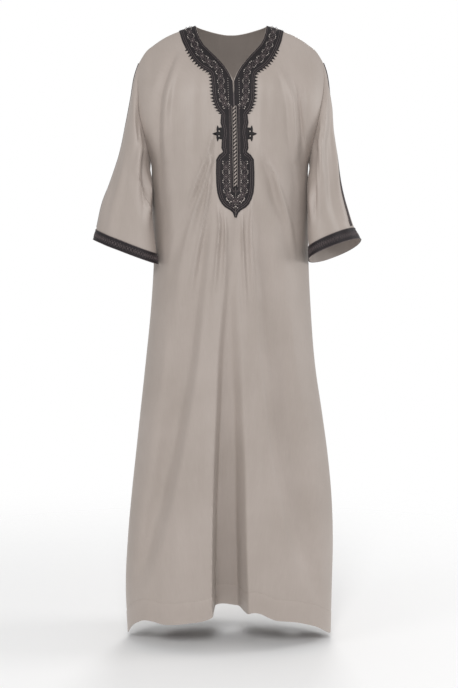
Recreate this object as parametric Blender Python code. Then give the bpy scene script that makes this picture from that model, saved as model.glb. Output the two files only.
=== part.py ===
"""Long pull-on robe with loose three-quarter sleeves, in the hollow form that it has when worn.

Metres, +Z up. The front faces -Y and the wearer's left is +X. The origin lies midway between the two
points where the shoulder seams meet the neckline. Heights are written as "down", the distance below
that level, because a garment is measured from the shoulder down.
"""

import bpy
import numpy as np
from mathutils import Vector
from mathutils.bvhtree import BVHTree

for old in list(bpy.data.objects):
    bpy.data.objects.remove(old)


def table(names, *rows):
    """Rows written under their column names, kept as one array for each column."""
    return dict(zip(names.split(), np.array(rows, float).T))


# Cloth and seams. Where front, back and sleeve meet under the arm, the outside of the cloth looks down
CLOTH = 0.0015
TRIM = 0.0012
SEAM_GAP = 0.0005
TRIM_LIFT = 0.0008
ARMPIT_NORMAL = (0, 0, -1)
SHARP_DEGREES = 50

# Grid of the panels: rows from the shoulder seam to the armpit, rows on to the hem, columns
ROWS_ABOVE = 14
ROWS_BELOW = 19
HALF_COLUMNS = 19
BACK_COLUMNS = 28
ROW_CROWDING = 1.25
DENSE = 400

# Plan of the body: a rounded oblong whose two halves meet at the side seams
SIDE_ROUNDING = 2.3
ARMPIT_DOWN = 0.315
BODY = table(
    "down  right  left   side_y front  back",
    (0.00, 0.240, 0.240, 0.000, 0.088, 0.078),
    (0.08, 0.240, 0.240, 0.000, 0.106, 0.098),
    (0.15, 0.238, 0.237, 0.000, 0.114, 0.110),
    (0.22, 0.226, 0.222, 0.000, 0.118, 0.114),
    (0.27, 0.206, 0.200, 0.002, 0.121, 0.114),
    (0.315, 0.1882, 0.1822, 0.006, 0.123, 0.113),
    (0.37, 0.1872, 0.1813, 0.016, 0.124, 0.110),
    (0.45, 0.1850, 0.1820, 0.027, 0.124, 0.108),
    (0.53, 0.183, 0.183, 0.030, 0.124, 0.110),
    (0.64, 0.189, 0.188, 0.028, 0.126, 0.118),
    (0.80, 0.205, 0.201, 0.023, 0.129, 0.131),
    (0.90, 0.216, 0.216, 0.018, 0.131, 0.137),
    (1.00, 0.227, 0.230, 0.016, 0.134, 0.142),
    (1.10, 0.238, 0.240, 0.014, 0.137, 0.146),
    (1.20, 0.247, 0.244, 0.010, 0.140, 0.150),
    (1.32, 0.253, 0.242, 0.005, 0.142, 0.152),
    (1.44, 0.248, 0.239, 0.000, 0.142, 0.152),
)

# Shoulder seam seen from the front, and how the cloth rounds over it to the chest and the back
NECK_HALF = 0.082
SHOULDER = table(
    "x      down",
    (0.000, 0.000),
    (0.082, 0.000),
    (0.121, 0.0115),
    (0.156, 0.027),
    (0.180, 0.043),
    (0.199, 0.059),
    (0.213, 0.081),
    (0.240, 0.140),
)
FRONT_ROUND, FRONT_ROUND_POWER = 0.165, 0.70
BACK_ROUND, BACK_ROUND_POWER = 0.150, 0.62
BACK_NECK_DOWN, BACK_NECK_POWER = 0.018, 0.8

# Armhole edges, from the shoulder point to the armpit
ARMHOLE = table(
    "down    right  left",
    (0.081, 0.2130, 0.2130),
    (0.120, 0.2160, 0.2150),
    (0.160, 0.2145, 0.2115),
    (0.205, 0.2115, 0.2030),
    (0.245, 0.2020, 0.1945),
    (0.285, 0.1935, 0.1855),
    (0.315, 0.1870, 0.1810),
)

# Neckline and front slit, by share of the rows from the shoulder seam to the armpit
SLIT_HALF = 0.0010
SLIT_END_ROW = 12
NECK_EDGE = table(
    "share down   out",
    (0.00, 0.000, 0.082),
    (0.14, 0.024, 0.0765),
    (0.26, 0.047, 0.0665),
    (0.36, 0.064, 0.050),
    (0.46, 0.082, 0.034),
    (0.55, 0.098, 0.0205),
    (0.63, 0.111, 0.0115),
    (0.70, 0.123, 0.0050),
    (0.76, 0.134, SLIT_HALF),
    (0.86, 0.195, SLIT_HALF),
    (1.00, 0.315, 0.0),
)
# The worked opening leans a little to the wearer's left
PLACKET_LEAN = table("down x", (0.0, 0.0), (0.12, 0.0045), (0.44, 0.010), (0.60, 0.010))

# Hem edge: the sides hang lower than the middle
SIDE_HEM_DOWN = 1.434
HEM_FRONT = table(
    "x       down",
    (-0.248, SIDE_HEM_DOWN),
    (-0.236, 1.410),
    (-0.214, 1.389),
    (-0.155, 1.386),
    (-0.105, 1.379),
    (-0.058, 1.367),
    (-0.041, 1.358),
    (0.018, 1.360),
    (0.041, 1.352),
    (0.095, 1.371),
    (0.160, 1.385),
    (0.205, 1.405),
    (0.239, SIDE_HEM_DOWN),
)
HEM_BACK_MIDDLE, HEM_BACK_POWER = 1.388, 4

# Folds are troughs pressed in from the outside. Each starts at a crest, falls over a first wall, may
# run level, and climbs back over a second wall. Widths count from the crest towards the turn, +1 for
# the wearer's left. They die away before the side seams, where the two panels have one edge.
FOLDS_FADE_FROM, FOLDS_FADE_OVER = 0.72, 0.24
FOLD_COLUMNS = "down start first floor second depth"
FRONT_FOLDS = (
    # Fold between the feet, which deepens all the way to the hem
    (
        +1,
        table(
            FOLD_COLUMNS,
            (0.47, -0.006, 0.012, 0.000, 0.020, 0.000),
            (0.62, -0.020, 0.014, 0.002, 0.022, 0.007),
            (0.74, -0.031, 0.016, 0.014, 0.027, 0.014),
            (0.89, -0.036, 0.014, 0.026, 0.028, 0.026),
            (1.00, -0.040, 0.012, 0.036, 0.028, 0.040),
            (1.13, -0.043, 0.010, 0.042, 0.028, 0.060),
            (1.26, -0.044, 0.008, 0.048, 0.028, 0.084),
            (1.40, -0.044, 0.007, 0.054, 0.027, 0.112),
        ),
    ),
    # Long fold from the wearer's right of the placket to the right hem corner
    (
        -1,
        table(
            FOLD_COLUMNS,
            (0.33, -0.036, 0.014, 0.000, 0.030, 0.000),
            (0.44, -0.040, 0.018, 0.000, 0.040, 0.008),
            (0.62, -0.056, 0.022, 0.000, 0.052, 0.016),
            (0.74, -0.068, 0.026, 0.000, 0.060, 0.021),
            (0.89, -0.090, 0.028, 0.000, 0.066, 0.026),
            (1.05, -0.121, 0.032, 0.000, 0.060, 0.029),
            (1.20, -0.156, 0.036, 0.000, 0.052, 0.025),
            (1.30, -0.196, 0.030, 0.000, 0.034, 0.014),
            (1.40, -0.236, 0.020, 0.000, 0.020, 0.000),
        ),
    ),
    # Long fold from the wearer's left of the placket to the left hem corner
    (
        +1,
        table(
            FOLD_COLUMNS,
            (0.42, 0.048, 0.016, 0.000, 0.030, 0.000),
            (0.49, 0.046, 0.020, 0.000, 0.036, 0.008),
            (0.62, 0.051, 0.026, 0.004, 0.046, 0.016),
            (0.82, 0.067, 0.030, 0.010, 0.060, 0.025),
            (0.96, 0.084, 0.030, 0.012, 0.066, 0.029),
            (1.07, 0.102, 0.032, 0.010, 0.064, 0.028),
            (1.18, 0.126, 0.034, 0.006, 0.058, 0.023),
            (1.28, 0.160, 0.032, 0.000, 0.044, 0.014),
            (1.38, 0.220, 0.016, 0.000, 0.016, 0.000),
        ),
    ),
    # Crease from the right shoulder down past the armhole
    (
        -1,
        table(
            FOLD_COLUMNS,
            (0.06, -0.116, 0.012, 0.000, 0.020, 0.000),
            (0.09, -0.124, 0.012, 0.000, 0.024, 0.007),
            (0.16, -0.143, 0.014, 0.000, 0.030, 0.009),
            (0.24, -0.150, 0.014, 0.000, 0.030, 0.007),
            (0.36, -0.147, 0.014, 0.000, 0.024, 0.004),
            (0.46, -0.142, 0.014, 0.000, 0.020, 0.000),
        ),
    ),
    # Crease on the left chest that falls from the collar towards the armpit
    (
        +1,
        table(
            FOLD_COLUMNS,
            (0.07, 0.122, 0.012, 0.000, 0.020, 0.000),
            (0.15, 0.138, 0.014, 0.000, 0.024, 0.006),
            (0.28, 0.150, 0.014, 0.000, 0.024, 0.006),
            (0.40, 0.156, 0.012, 0.000, 0.018, 0.002),
            (0.46, 0.158, 0.010, 0.000, 0.012, 0.000),
        ),
    ),
    # Slanting drape from the placket to the left hip
    (
        -1,
        table(
            FOLD_COLUMNS,
            (0.29, 0.076, 0.008, 0.000, 0.012, 0.000),
            (0.33, 0.096, 0.010, 0.000, 0.024, 0.005),
            (0.39, 0.117, 0.014, 0.000, 0.034, 0.007),
            (0.47, 0.140, 0.016, 0.000, 0.036, 0.006),
            (0.58, 0.154, 0.014, 0.000, 0.030, 0.000),
        ),
    ),
    # Gathered drape from the placket to the right hip
    (
        +1,
        table(
            FOLD_COLUMNS,
            (0.31, -0.066, 0.008, 0.000, 0.014, 0.000),
            (0.37, -0.088, 0.012, 0.000, 0.020, 0.005),
            (0.45, -0.120, 0.014, 0.000, 0.026, 0.006),
            (0.53, -0.144, 0.014, 0.000, 0.026, 0.004),
            (0.62, -0.158, 0.012, 0.000, 0.022, 0.000),
        ),
    ),
)
# Soft hanging folds of the back
BACK_FOLDS = (
    (
        +1,
        table(
            FOLD_COLUMNS,
            (0.20, -0.016, 0.020, 0.000, 0.026, 0.000),
            (0.45, -0.020, 0.024, 0.000, 0.034, 0.008),
            (0.80, -0.026, 0.026, 0.004, 0.040, 0.018),
            (1.10, -0.030, 0.026, 0.008, 0.044, 0.030),
            (1.43, -0.034, 0.026, 0.012, 0.048, 0.044),
        ),
    ),
    (
        -1,
        table(
            FOLD_COLUMNS,
            (0.16, -0.086, 0.018, 0.000, 0.026, 0.000),
            (0.42, -0.084, 0.020, 0.000, 0.034, 0.008),
            (0.80, -0.100, 0.024, 0.000, 0.042, 0.017),
            (1.10, -0.116, 0.028, 0.004, 0.046, 0.027),
            (1.43, -0.128, 0.028, 0.006, 0.050, 0.034),
        ),
    ),
    (
        +1,
        table(
            FOLD_COLUMNS,
            (0.22, 0.080, 0.018, 0.000, 0.028, 0.000),
            (0.50, 0.086, 0.022, 0.000, 0.036, 0.009),
            (0.86, 0.100, 0.026, 0.002, 0.040, 0.019),
            (1.15, 0.112, 0.028, 0.004, 0.046, 0.028),
            (1.43, 0.120, 0.030, 0.004, 0.050, 0.036),
        ),
    ),
)

# Sleeves: the outer line runs from the shoulder point, the inner line from the armpit, and each ring
# is a rounded oblong between them. "lift" raises the front of a ring, and "sink" lowers its back.
SLEEVE_COLUMNS = "share out_x out_y out_down in_x in_y in_down front back lift sink"
SLEEVE_RIGHT = table(
    SLEEVE_COLUMNS,
    (0.00, 0.213, 0.000, 0.081, 0.187, 0.006, 0.315, 0.066, 0.066, 0.000, 0.000),
    (0.08, 0.223, 0.000, 0.108, 0.1905, 0.002, 0.334, 0.070, 0.068, 0.000, 0.000),
    (0.24, 0.234, 0.002, 0.165, 0.1865, -0.012, 0.368, 0.072, 0.064, 0.000, 0.000),
    (0.40, 0.246, 0.004, 0.224, 0.1838, -0.024, 0.405, 0.069, 0.060, 0.000, 0.000),
    (0.56, 0.261, 0.004, 0.292, 0.1822, -0.036, 0.440, 0.064, 0.054, 0.000, 0.000),
    (0.72, 0.284, 0.004, 0.360, 0.1785, -0.044, 0.475, 0.058, 0.050, 0.000, 0.000),
    (0.86, 0.306, 0.002, 0.420, 0.1750, -0.047, 0.503, 0.054, 0.050, 0.000, 0.000),
    (0.93, 0.316, 0.002, 0.466, 0.173, -0.048, 0.522, 0.053, 0.050, 0.000, -0.003),
    (1.00, 0.323, 0.000, 0.493, 0.170, -0.050, 0.549, 0.052, 0.051, 0.000, -0.006),
)
SLEEVE_LEFT = table(
    SLEEVE_COLUMNS,
    (0.00, 0.2130, 0.000, 0.081, 0.181, 0.006, 0.315, 0.066, 0.066, 0.000, 0.000),
    (0.08, 0.221, 0.000, 0.104, 0.1850, 0.002, 0.334, 0.070, 0.068, 0.000, 0.000),
    (0.24, 0.229, 0.002, 0.160, 0.1812, -0.012, 0.368, 0.072, 0.065, 0.000, 0.002),
    (0.40, 0.233, 0.004, 0.222, 0.1785, -0.024, 0.404, 0.069, 0.062, 0.001, 0.004),
    (0.56, 0.246, 0.004, 0.292, 0.1775, -0.034, 0.436, 0.063, 0.058, 0.003, 0.007),
    (0.72, 0.257, 0.004, 0.362, 0.1770, -0.041, 0.468, 0.056, 0.056, 0.006, 0.010),
    (0.86, 0.273, 0.002, 0.420, 0.1785, -0.046, 0.492, 0.052, 0.056, 0.010, 0.014),
    (0.93, 0.288, 0.000, 0.466, 0.1795, -0.049, 0.508, 0.051, 0.058, 0.013, 0.017),
    (1.00, 0.304, 0.000, 0.496, 0.1800, -0.051, 0.538, 0.051, 0.060, 0.015, 0.020),
)
SLEEVE_ROWS = (0.0, 0.08, 0.17, 0.27, 0.38, 0.49, 0.60, 0.71, 0.81, 0.885, 0.93, 1.0)
CUFF_FROM = 0.93
SLEEVE_ROUNDING = 2.2
ARMHOLE_FADE_POWER = 3
SLEEVE_FOLDS_FROM = 0.08
# Creases of the sleeves: "around" runs from the outer line (0) over the front (0.25) to the back
SLEEVE_FOLD_COLUMNS = "share around half depth"
SLEEVE_RIGHT_FOLDS = (
    table(
        SLEEVE_FOLD_COLUMNS,
        (0.00, 0.36, 0.05, 0.000),
        (0.16, 0.36, 0.06, 0.010),
        (0.40, 0.34, 0.06, 0.007),
        (0.70, 0.32, 0.07, 0.000),
    ),
    table(
        SLEEVE_FOLD_COLUMNS,
        (0.10, 0.66, 0.06, 0.000),
        (0.30, 0.66, 0.07, 0.009),
        (0.60, 0.70, 0.07, 0.008),
        (1.00, 0.72, 0.08, 0.002),
    ),
)
SLEEVE_LEFT_FOLDS = (
    table(
        SLEEVE_FOLD_COLUMNS,
        (0.00, 0.38, 0.05, 0.000),
        (0.18, 0.38, 0.06, 0.009),
        (0.50, 0.36, 0.06, 0.008),
        (0.85, 0.34, 0.07, 0.000),
    ),
    table(
        SLEEVE_FOLD_COLUMNS,
        (0.30, 0.16, 0.05, 0.000),
        (0.52, 0.18, 0.06, 0.006),
        (0.80, 0.20, 0.06, 0.006),
        (1.00, 0.20, 0.06, 0.002),
    ),
    table(
        SLEEVE_FOLD_COLUMNS,
        (0.10, 0.64, 0.06, 0.000),
        (0.35, 0.66, 0.07, 0.009),
        (0.70, 0.68, 0.07, 0.008),
        (1.00, 0.70, 0.08, 0.003),
    ),
)
# Braid down each sleeve: how far its middle lies behind the outer line, or in front of it if below 0,
# and how many points of a ring on each side of that line it can reach over
STRIPE_HALF, STRIPE_SPAN = 0.0045, 5
STRIPE = table(
    "share right left",
    (0.00, 0.006, 0.006),
    (0.20, 0.009, -0.002),
    (0.45, 0.012, -0.011),
    (0.60, 0.012, -0.018),
    (0.72, 0.012, -0.024),
    (0.93, 0.011, -0.036),
)

# Embroidered band of the neckline and placket: each row is one station along it, with the inner and
# the outer edge measured out from the placket's leaning middle line
BAND = table(
    "inner_down inner_out outer_down outer_out",
    (0.000, 0.0820, 0.0115, 0.1210),
    (0.018, 0.0785, 0.038, 0.1140),
    (0.034, 0.0730, 0.057, 0.1060),
    (0.048, 0.0655, 0.072, 0.0985),
    (0.060, 0.0545, 0.086, 0.0900),
    (0.071, 0.0440, 0.097, 0.0805),
    (0.084, 0.0325, 0.107, 0.0690),
    (0.098, 0.0205, 0.113, 0.0590),
    (0.111, 0.0120, 0.118, 0.0535),
    (0.123, 0.0060, 0.126, 0.0515),
    (0.135, 0.0016, 0.135, 0.0510),
    (0.154, 0.0014, 0.154, 0.0500),
    (0.174, 0.0008, 0.174, 0.0490),
    (0.190, 0.0006, 0.190, 0.0440),
    (0.202, 0.0004, 0.202, 0.0375),
    (0.2095, 0.0004, 0.2095, 0.0300),
    (0.228, 0.0004, 0.228, 0.0315),
    (0.242, 0.0004, 0.242, 0.0280),
    (0.252, 0.0004, 0.252, 0.0270),
    (0.262, 0.0004, 0.262, 0.0290),
    (0.284, 0.0004, 0.284, 0.0305),
    (0.293, 0.0004, 0.293, 0.0270),
    (0.300, 0.0004, 0.300, 0.0360),
    (0.310, 0.0004, 0.310, 0.0425),
    (0.338, 0.0004, 0.338, 0.0435),
    (0.366, 0.0004, 0.366, 0.0430),
    (0.385, 0.0004, 0.385, 0.0410),
    (0.399, 0.0004, 0.399, 0.0370),
    (0.410, 0.0004, 0.410, 0.0310),
    (0.418, 0.0004, 0.418, 0.0230),
    (0.4245, 0.0004, 0.4245, 0.0120),
    (0.430, 0.0004, 0.430, 0.0065),
    (0.441, 0.0004, 0.441, 0.0022),
)
BAND_ACROSS = 3
TOOTH_PITCH, TOOTH_DEPTH = 0.0077, 0.0062
TEETH_FROM, TEETH_TO = 2, 15
SHOULDER_STATIONS, SHOULDER_CROWDING = 11, 1.3
BACK_BAND_WIDTH, BACK_BAND_ENDS_OUT = 0.041, 0.121
BACK_BAND_COLUMNS, BACK_BAND_ROWS = 22, 3
BACK_BAND_POWER = 4

# Braid over the closed part of the slit, and the two star ornaments beside the waist of the placket
BRAID_TOP, BRAID_BOTTOM, BRAID_HALF = 0.190, 0.372, 0.0065
BRAID_ROWS = 13
STAR_DOWN, STAR_OUT, STAR_WIDE, STAR_HIGH = 0.252, 0.0388, 0.0112, 0.0165
STAR_REACH, STAR_EYE = (1.0, 0.5, 0.72, 0.5), 0.25

CLOTH_COLOUR = (0.40, 0.335, 0.29)
STITCH_COLOUR = (0.048, 0.034, 0.038)


def curve(columns, name, at, along="down"):
    """Smooth curve through one column of a table, read at "at" and level beyond its ends."""
    stations, values = columns[along], columns[name]
    slopes = np.gradient(values, stations)
    at = np.clip(at, stations[0], stations[-1])
    low = np.clip(np.searchsorted(stations, at) - 1, 0, len(stations) - 2)
    span = stations[low + 1] - stations[low]
    t = (at - stations[low]) / span
    start, end = values[low], values[low + 1]
    leave, arrive = slopes[low] * span, slopes[low + 1] * span
    return (
        start
        + t * leave
        + t**2 * (3 * (end - start) - 2 * leave - arrive)
        + t**3 * (2 * (start - end) + leave + arrive)
    )


def straight(columns, name, at, along="down"):
    return np.interp(at, columns[along], columns[name])


def shoulder_down(x):
    return curve(SHOULDER, "down", np.abs(x), along="x")


def half_width(x, down):
    return np.where(x < 0, curve(BODY, "right", down), curve(BODY, "left", down))


def ease(t):
    t = np.clip(t, 0, 1)
    return t * t * (3 - 2 * t)


def fold_depth(folds, x, down):
    """How far all the folds press the cloth in at these places."""
    total = np.zeros(np.broadcast(x, down).shape)
    for turn, fold in folds:
        first, floor, second = (straight(fold, name, down) for name in ("first", "floor", "second"))
        from_crest = turn * (x - curve(fold, "start", down))
        depth = np.maximum(curve(fold, "depth", down), 0)
        inside = ease(from_crest / first) * ease((first + floor + second - from_crest) / second)
        total += depth * inside
    return total


def body_points(x, down, side):
    """Outer face of the body at x and down. Side is -1 on the front and +1 on the back."""
    share = np.clip(np.abs(x) / half_width(x, down), 0, 1)
    bulge = np.sqrt(1 - share**SIDE_ROUNDING)
    reach, power = (FRONT_ROUND, FRONT_ROUND_POWER) if side < 0 else (BACK_ROUND, BACK_ROUND_POWER)
    drop = np.clip((down - shoulder_down(x)) / reach, 0, 1)
    over = np.sin(drop * np.pi / 2) ** power
    side_y = curve(BODY, "side_y", down)
    depth = curve(BODY, "front" if side < 0 else "back", down)
    y = side_y + (side * depth - side_y) * bulge * over
    pressed = fold_depth(FRONT_FOLDS if side < 0 else BACK_FOLDS, x, down) * over
    y -= side * pressed * (1 - ease((share - FOLDS_FADE_FROM) / FOLDS_FADE_OVER))
    return np.stack([x, y, -down], axis=-1)


def plan_angle(x, down):
    """Angle on the rounded plan: nothing at the middle, a right angle at the side seam."""
    share = np.clip(np.abs(x) / half_width(x, down), 0, 1)
    return np.sign(x) * np.arcsin(share ** (SIDE_ROUNDING / 2))


def plan_x(angle, down):
    share = np.abs(np.sin(angle)) ** (2 / SIDE_ROUNDING)
    return np.sign(angle) * share * half_width(angle, down)


def resampled(points, count):
    """Evenly spaced points along a dense line, its two ends included."""
    steps = np.linalg.norm(np.diff(points, axis=0), axis=1)
    length = np.concatenate([[0], np.cumsum(steps)])
    at = np.linspace(0, length[-1], count)
    return np.stack([np.interp(at, length, points[:, axis]) for axis in range(3)], axis=1)


def placket_x(down):
    return curve(PLACKET_LEAN, "x", down)


def row_shares():
    return (np.arange(ROWS_ABOVE + 1) / ROWS_ABOVE) ** ROW_CROWDING


def armhole_edge(share, wing):
    """Place (x, down) on an armhole edge. Wing is -1 on the wearer's right and +1 on the left."""
    down = ARMHOLE["down"][0] + share * (ARMPIT_DOWN - ARMHOLE["down"][0])
    return wing * curve(ARMHOLE, "right" if wing < 0 else "left", down), down


def upper_row(start, end, share, side, columns):
    """Row of cloth between two places (x, down), which follows the shoulder seam less as it drops."""
    level = 1 - share
    t = np.linspace(0, 1, DENSE)
    rough_down = start[1] + t * (end[1] - start[1])
    angle = plan_angle(start[0], start[1]) + t * (
        plan_angle(end[0], end[1]) - plan_angle(start[0], start[1])
    )
    x = plan_x(angle, rough_down)
    x += (start[0] - x[0]) * (1 - t) + (end[0] - x[-1]) * t
    below = [place[1] - level * shoulder_down(place[0]) for place in (start, end)]
    down = level * shoulder_down(x) + below[0] + t * (below[1] - below[0])
    return resampled(body_points(x, down, side), columns + 1)


def hem_down(x, side):
    if side < 0:
        return curve(HEM_FRONT, "down", x, along="x")
    share = np.abs(x) / half_width(x, SIDE_HEM_DOWN)
    return HEM_BACK_MIDDLE + (SIDE_HEM_DOWN - HEM_BACK_MIDDLE) * share**HEM_BACK_POWER


def lower_row(start_angle, end_angle, share, side, columns, middle_end=False):
    """Row below the armpit, at a share of the way to the hem."""
    angle = np.linspace(start_angle, end_angle, DENSE)
    hem = hem_down(plan_x(angle, SIDE_HEM_DOWN), side)
    down = ARMPIT_DOWN + share * (hem - ARMPIT_DOWN)
    x = plan_x(angle, down)
    if middle_end:
        t = np.linspace(0, 1, DENSE)
        x = x + (placket_x(down[-1]) - x[-1]) * t**2
    return resampled(body_points(x, down, side), columns + 1)


def front_half(wing):
    """Grid of half the front panel, from the armhole and side seam to the neckline and the middle."""
    rows = []
    for share in row_shares():
        edge_down = straight(NECK_EDGE, "down", share, along="share")
        edge_out = straight(NECK_EDGE, "out", share, along="share")
        neck = (placket_x(edge_down) + wing * edge_out, edge_down)
        rows.append(upper_row(armhole_edge(share, wing), neck, share, -1, HALF_COLUMNS))
    for step in range(1, ROWS_BELOW + 1):
        rows.append(lower_row(wing * np.pi / 2, 0, step / ROWS_BELOW, -1, HALF_COLUMNS, True))
    return np.array(rows)


def back_neck_down(x):
    """How far the neckline dips below the shoulder level at the back."""
    return BACK_NECK_DOWN * np.clip(1 - (x / NECK_HALF) ** 2, 0, 1) ** BACK_NECK_POWER


def back_grid():
    """Grid of the back panel from the wearer's right to left. Its top row follows both shoulder
    seams and the back neckline."""
    rows = []
    for share in row_shares():
        right, left = armhole_edge(share, -1), armhole_edge(share, +1)
        level = 1 - share
        t = np.linspace(0, 1, 2 * DENSE)
        ends = [plan_angle(*place) for place in (right, left)]
        x = plan_x(ends[0] + t * (ends[1] - ends[0]), right[1])
        x += (right[0] - x[0]) * (1 - t) + (left[0] - x[-1]) * t
        seam = shoulder_down(x) + back_neck_down(x)
        below = [place[1] - level * shoulder_down(place[0]) for place in (right, left)]
        down = level * seam + below[0] + t * (below[1] - below[0])
        rows.append(resampled(body_points(x, down, +1), BACK_COLUMNS + 1))
    for step in range(1, ROWS_BELOW + 1):
        rows.append(lower_row(-np.pi / 2, np.pi / 2, step / ROWS_BELOW, +1, BACK_COLUMNS))
    return np.array(rows)


def grid_faces(rows, columns, wrap=False):
    """Triangles of a grid of points, counted along its rows. With wrap, each row is a closed ring."""
    faces = []
    for row in range(rows - 1):
        for column in range(columns if wrap else columns - 1):
            after = (column + 1) % columns
            near, far = row * columns, (row + 1) * columns
            faces.append((near + column, far + column, far + after))
            faces.append((near + column, far + after, near + after))
    return faces


def unit(vectors):
    return vectors / np.linalg.norm(vectors, axis=-1, keepdims=True)


def point_normals(points, faces):
    normals = np.zeros_like(points)
    corners = points[np.array(faces)]
    across = np.cross(corners[:, 1] - corners[:, 0], corners[:, 2] - corners[:, 0])
    for corner in range(3):
        np.add.at(normals, np.array(faces)[:, corner], across)
    return unit(normals)


def material(name, colour, roughness):
    made = bpy.data.materials.new(name)
    made.use_nodes = True
    shader = made.node_tree.nodes["Principled BSDF"]
    shader.inputs["Base Color"].default_value = (*colour, 1)
    shader.inputs["Roughness"].default_value = roughness
    shader.inputs["Metallic"].default_value = 0
    return made


def add_object(name, points, faces, finish):
    mesh = bpy.data.meshes.new(name)
    mesh.from_pydata([tuple(point) for point in points], [], faces)
    mesh.shade_smooth()
    mesh.set_sharp_from_angle(angle=np.radians(SHARP_DEGREES))
    mesh.materials.append(finish)
    made = bpy.data.objects.new(name, mesh)
    bpy.context.scene.collection.objects.link(made)
    return made


def add_wall(name, points, faces, normals, thickness, finish):
    """Closed wall: the outer face, the same points moved in by the thickness, and a rim between."""
    count = len(points)
    inner = points - thickness * normals
    used = set()
    for face in faces:
        used.update(zip(face, face[1:] + face[:1]))
    rim = [(b, a, a + count, b + count) for a, b in sorted(used) if (b, a) not in used]
    back = [tuple(corner + count for corner in reversed(face)) for face in faces]
    return add_object(name, np.vstack([points, inner]), faces + back + rim, finish)


def pulled(grid, edge, inner, gap=SEAM_GAP / 2):
    """Draws one edge line of a grid back towards the line beside it, to leave half the seam gap."""
    grid[edge] = grid[edge] + unit(grid[inner] - grid[edge]) * gap


def outward(faces, points, away):
    """Faces turned so that they look along "away" at the first of them."""
    corners = points[list(faces[0])]
    across = np.cross(corners[1] - corners[0], corners[2] - corners[0])
    if np.dot(across, away) < 0:
        return [tuple(reversed(face)) for face in faces]
    return faces


def seam_normal_on_shoulder(x):
    step = 0.002
    slope = (shoulder_down(x + step) - shoulder_down(x - step)) / (2 * step)
    return unit(np.stack([slope, np.zeros_like(x), np.ones_like(x)], axis=-1))


def sleeve_ring(rows, share, angles):
    """Ideal ring of a sleeve: angle nothing on the outer line, a quarter turn at the front."""
    value = {name: curve(rows, name, share, along="share") for name in rows}
    outer = np.array([value["out_x"], value["out_y"], -value["out_down"]])
    inner = np.array([value["in_x"], value["in_y"], -value["in_down"]])
    along = np.cos(angles)
    along = np.sign(along) * np.abs(along) ** (2 / SLEEVE_ROUNDING)
    across = np.sin(angles)
    across = np.sign(across) * np.abs(across) ** (2 / SLEEVE_ROUNDING)
    points = (outer + inner) / 2 + np.outer(along, (outer - inner) / 2)
    points[:, 1] -= np.where(across > 0, value["front"], value["back"]) * across
    points[:, 2] += value["lift"] * np.clip(across, 0, 1) - value["sink"] * np.clip(-across, 0, 1)
    return points


def ring_angles(ring):
    """Angles of the armhole's points by their share of the way round, front and back apart."""
    steps = np.linalg.norm(np.roll(ring, -1, axis=0) - ring, axis=1)
    front = np.concatenate([[0], np.cumsum(steps[:ROWS_ABOVE])])
    back = np.concatenate([[0], np.cumsum(steps[ROWS_ABOVE:])])
    return np.concatenate([front[:-1] / front[-1] * np.pi, np.pi + back[:-1] / back[-1] * np.pi])


def sleeve_grid(armhole, rows, folds, wing):
    """Rings from the armhole to the cuff. The first ring is the armhole itself."""
    mirror = np.array([wing, 1, 1])
    hole = armhole * mirror
    angles = ring_angles(hole)
    around = angles / (2 * np.pi)
    offset = hole - sleeve_ring(rows, 0, angles)
    rings = []
    for share in SLEEVE_ROWS:
        rings.append(sleeve_ring(rows, share, angles) + offset * (1 - share) ** ARMHOLE_FADE_POWER)
    grid = np.array(rings)
    faces = grid_faces(len(grid), len(hole), wrap=True)
    flat = grid.reshape(-1, 3)
    normals = point_normals(flat, outward(faces, flat, np.array([1, 0, 1]))).reshape(grid.shape)
    for fold in folds:
        for row, share in enumerate(SLEEVE_ROWS):
            centre = straight(fold, "around", share, along="share")
            half = straight(fold, "half", share, along="share")
            depth = max(curve(fold, "depth", share, along="share"), 0)
            depth *= min(share / SLEEVE_FOLDS_FROM, 1) * (share >= fold["share"][0])
            pressed = depth * ease(1 - np.abs(around - centre) / half)
            grid[row] -= pressed[:, None] * normals[row]
    return grid * mirror


def armhole_ring(front, back):
    """Shoulder point, down the front edge, armpit, and up the back edge."""
    return np.vstack([front[: ROWS_ABOVE + 1], back[ROWS_ABOVE - 1 : 0 : -1]])


cloth = material("Woven cloth", CLOTH_COLOUR, 0.62)
stitched = material("Embroidery", STITCH_COLOUR, 0.70)

halves = {wing: front_half(wing) for wing in (-1, 1)}
back = back_grid()
sleeves = {}
for wing in (-1, 1):
    back_edge = back[: ROWS_ABOVE + 1, 0 if wing < 0 else -1]
    hole = armhole_ring(halves[wing][: ROWS_ABOVE + 1, 0], back_edge)
    rows = SLEEVE_RIGHT if wing < 0 else SLEEVE_LEFT
    folds = SLEEVE_RIGHT_FOLDS if wing < 0 else SLEEVE_LEFT_FOLDS
    sleeves[wing] = sleeve_grid(hole, rows, folds, wing)


def sleeve_walls():
    """Outer points, faces and normals of each sleeve, still without its seam gap."""
    made = {}
    for wing, grid in sleeves.items():
        points = grid.reshape(-1, 3)
        faces = outward(
            grid_faces(len(grid), grid.shape[1], wrap=True), points, np.array([wing, 0, 1])
        )
        made[wing] = [points.copy(), faces, point_normals(points, faces)]
    return made


walls = sleeve_walls()


def panel_seam_normals(normals, rows, columns, edge_column, wing, side):
    """Puts the shared seam normals on one side of a panel's grid of normals."""
    ring = walls[wing][2][: 2 * ROWS_ABOVE]
    for row in range(ROWS_ABOVE + 1):
        place = row if side < 0 or row in (0, ROWS_ABOVE) else 2 * ROWS_ABOVE - row
        normals[row, edge_column] = unit(normals[row, edge_column] + ring[place])
    normals[ROWS_ABOVE, edge_column] = ARMPIT_NORMAL
    normals[ROWS_ABOVE + 1 :, edge_column] = (wing, 0, 0)


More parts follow.
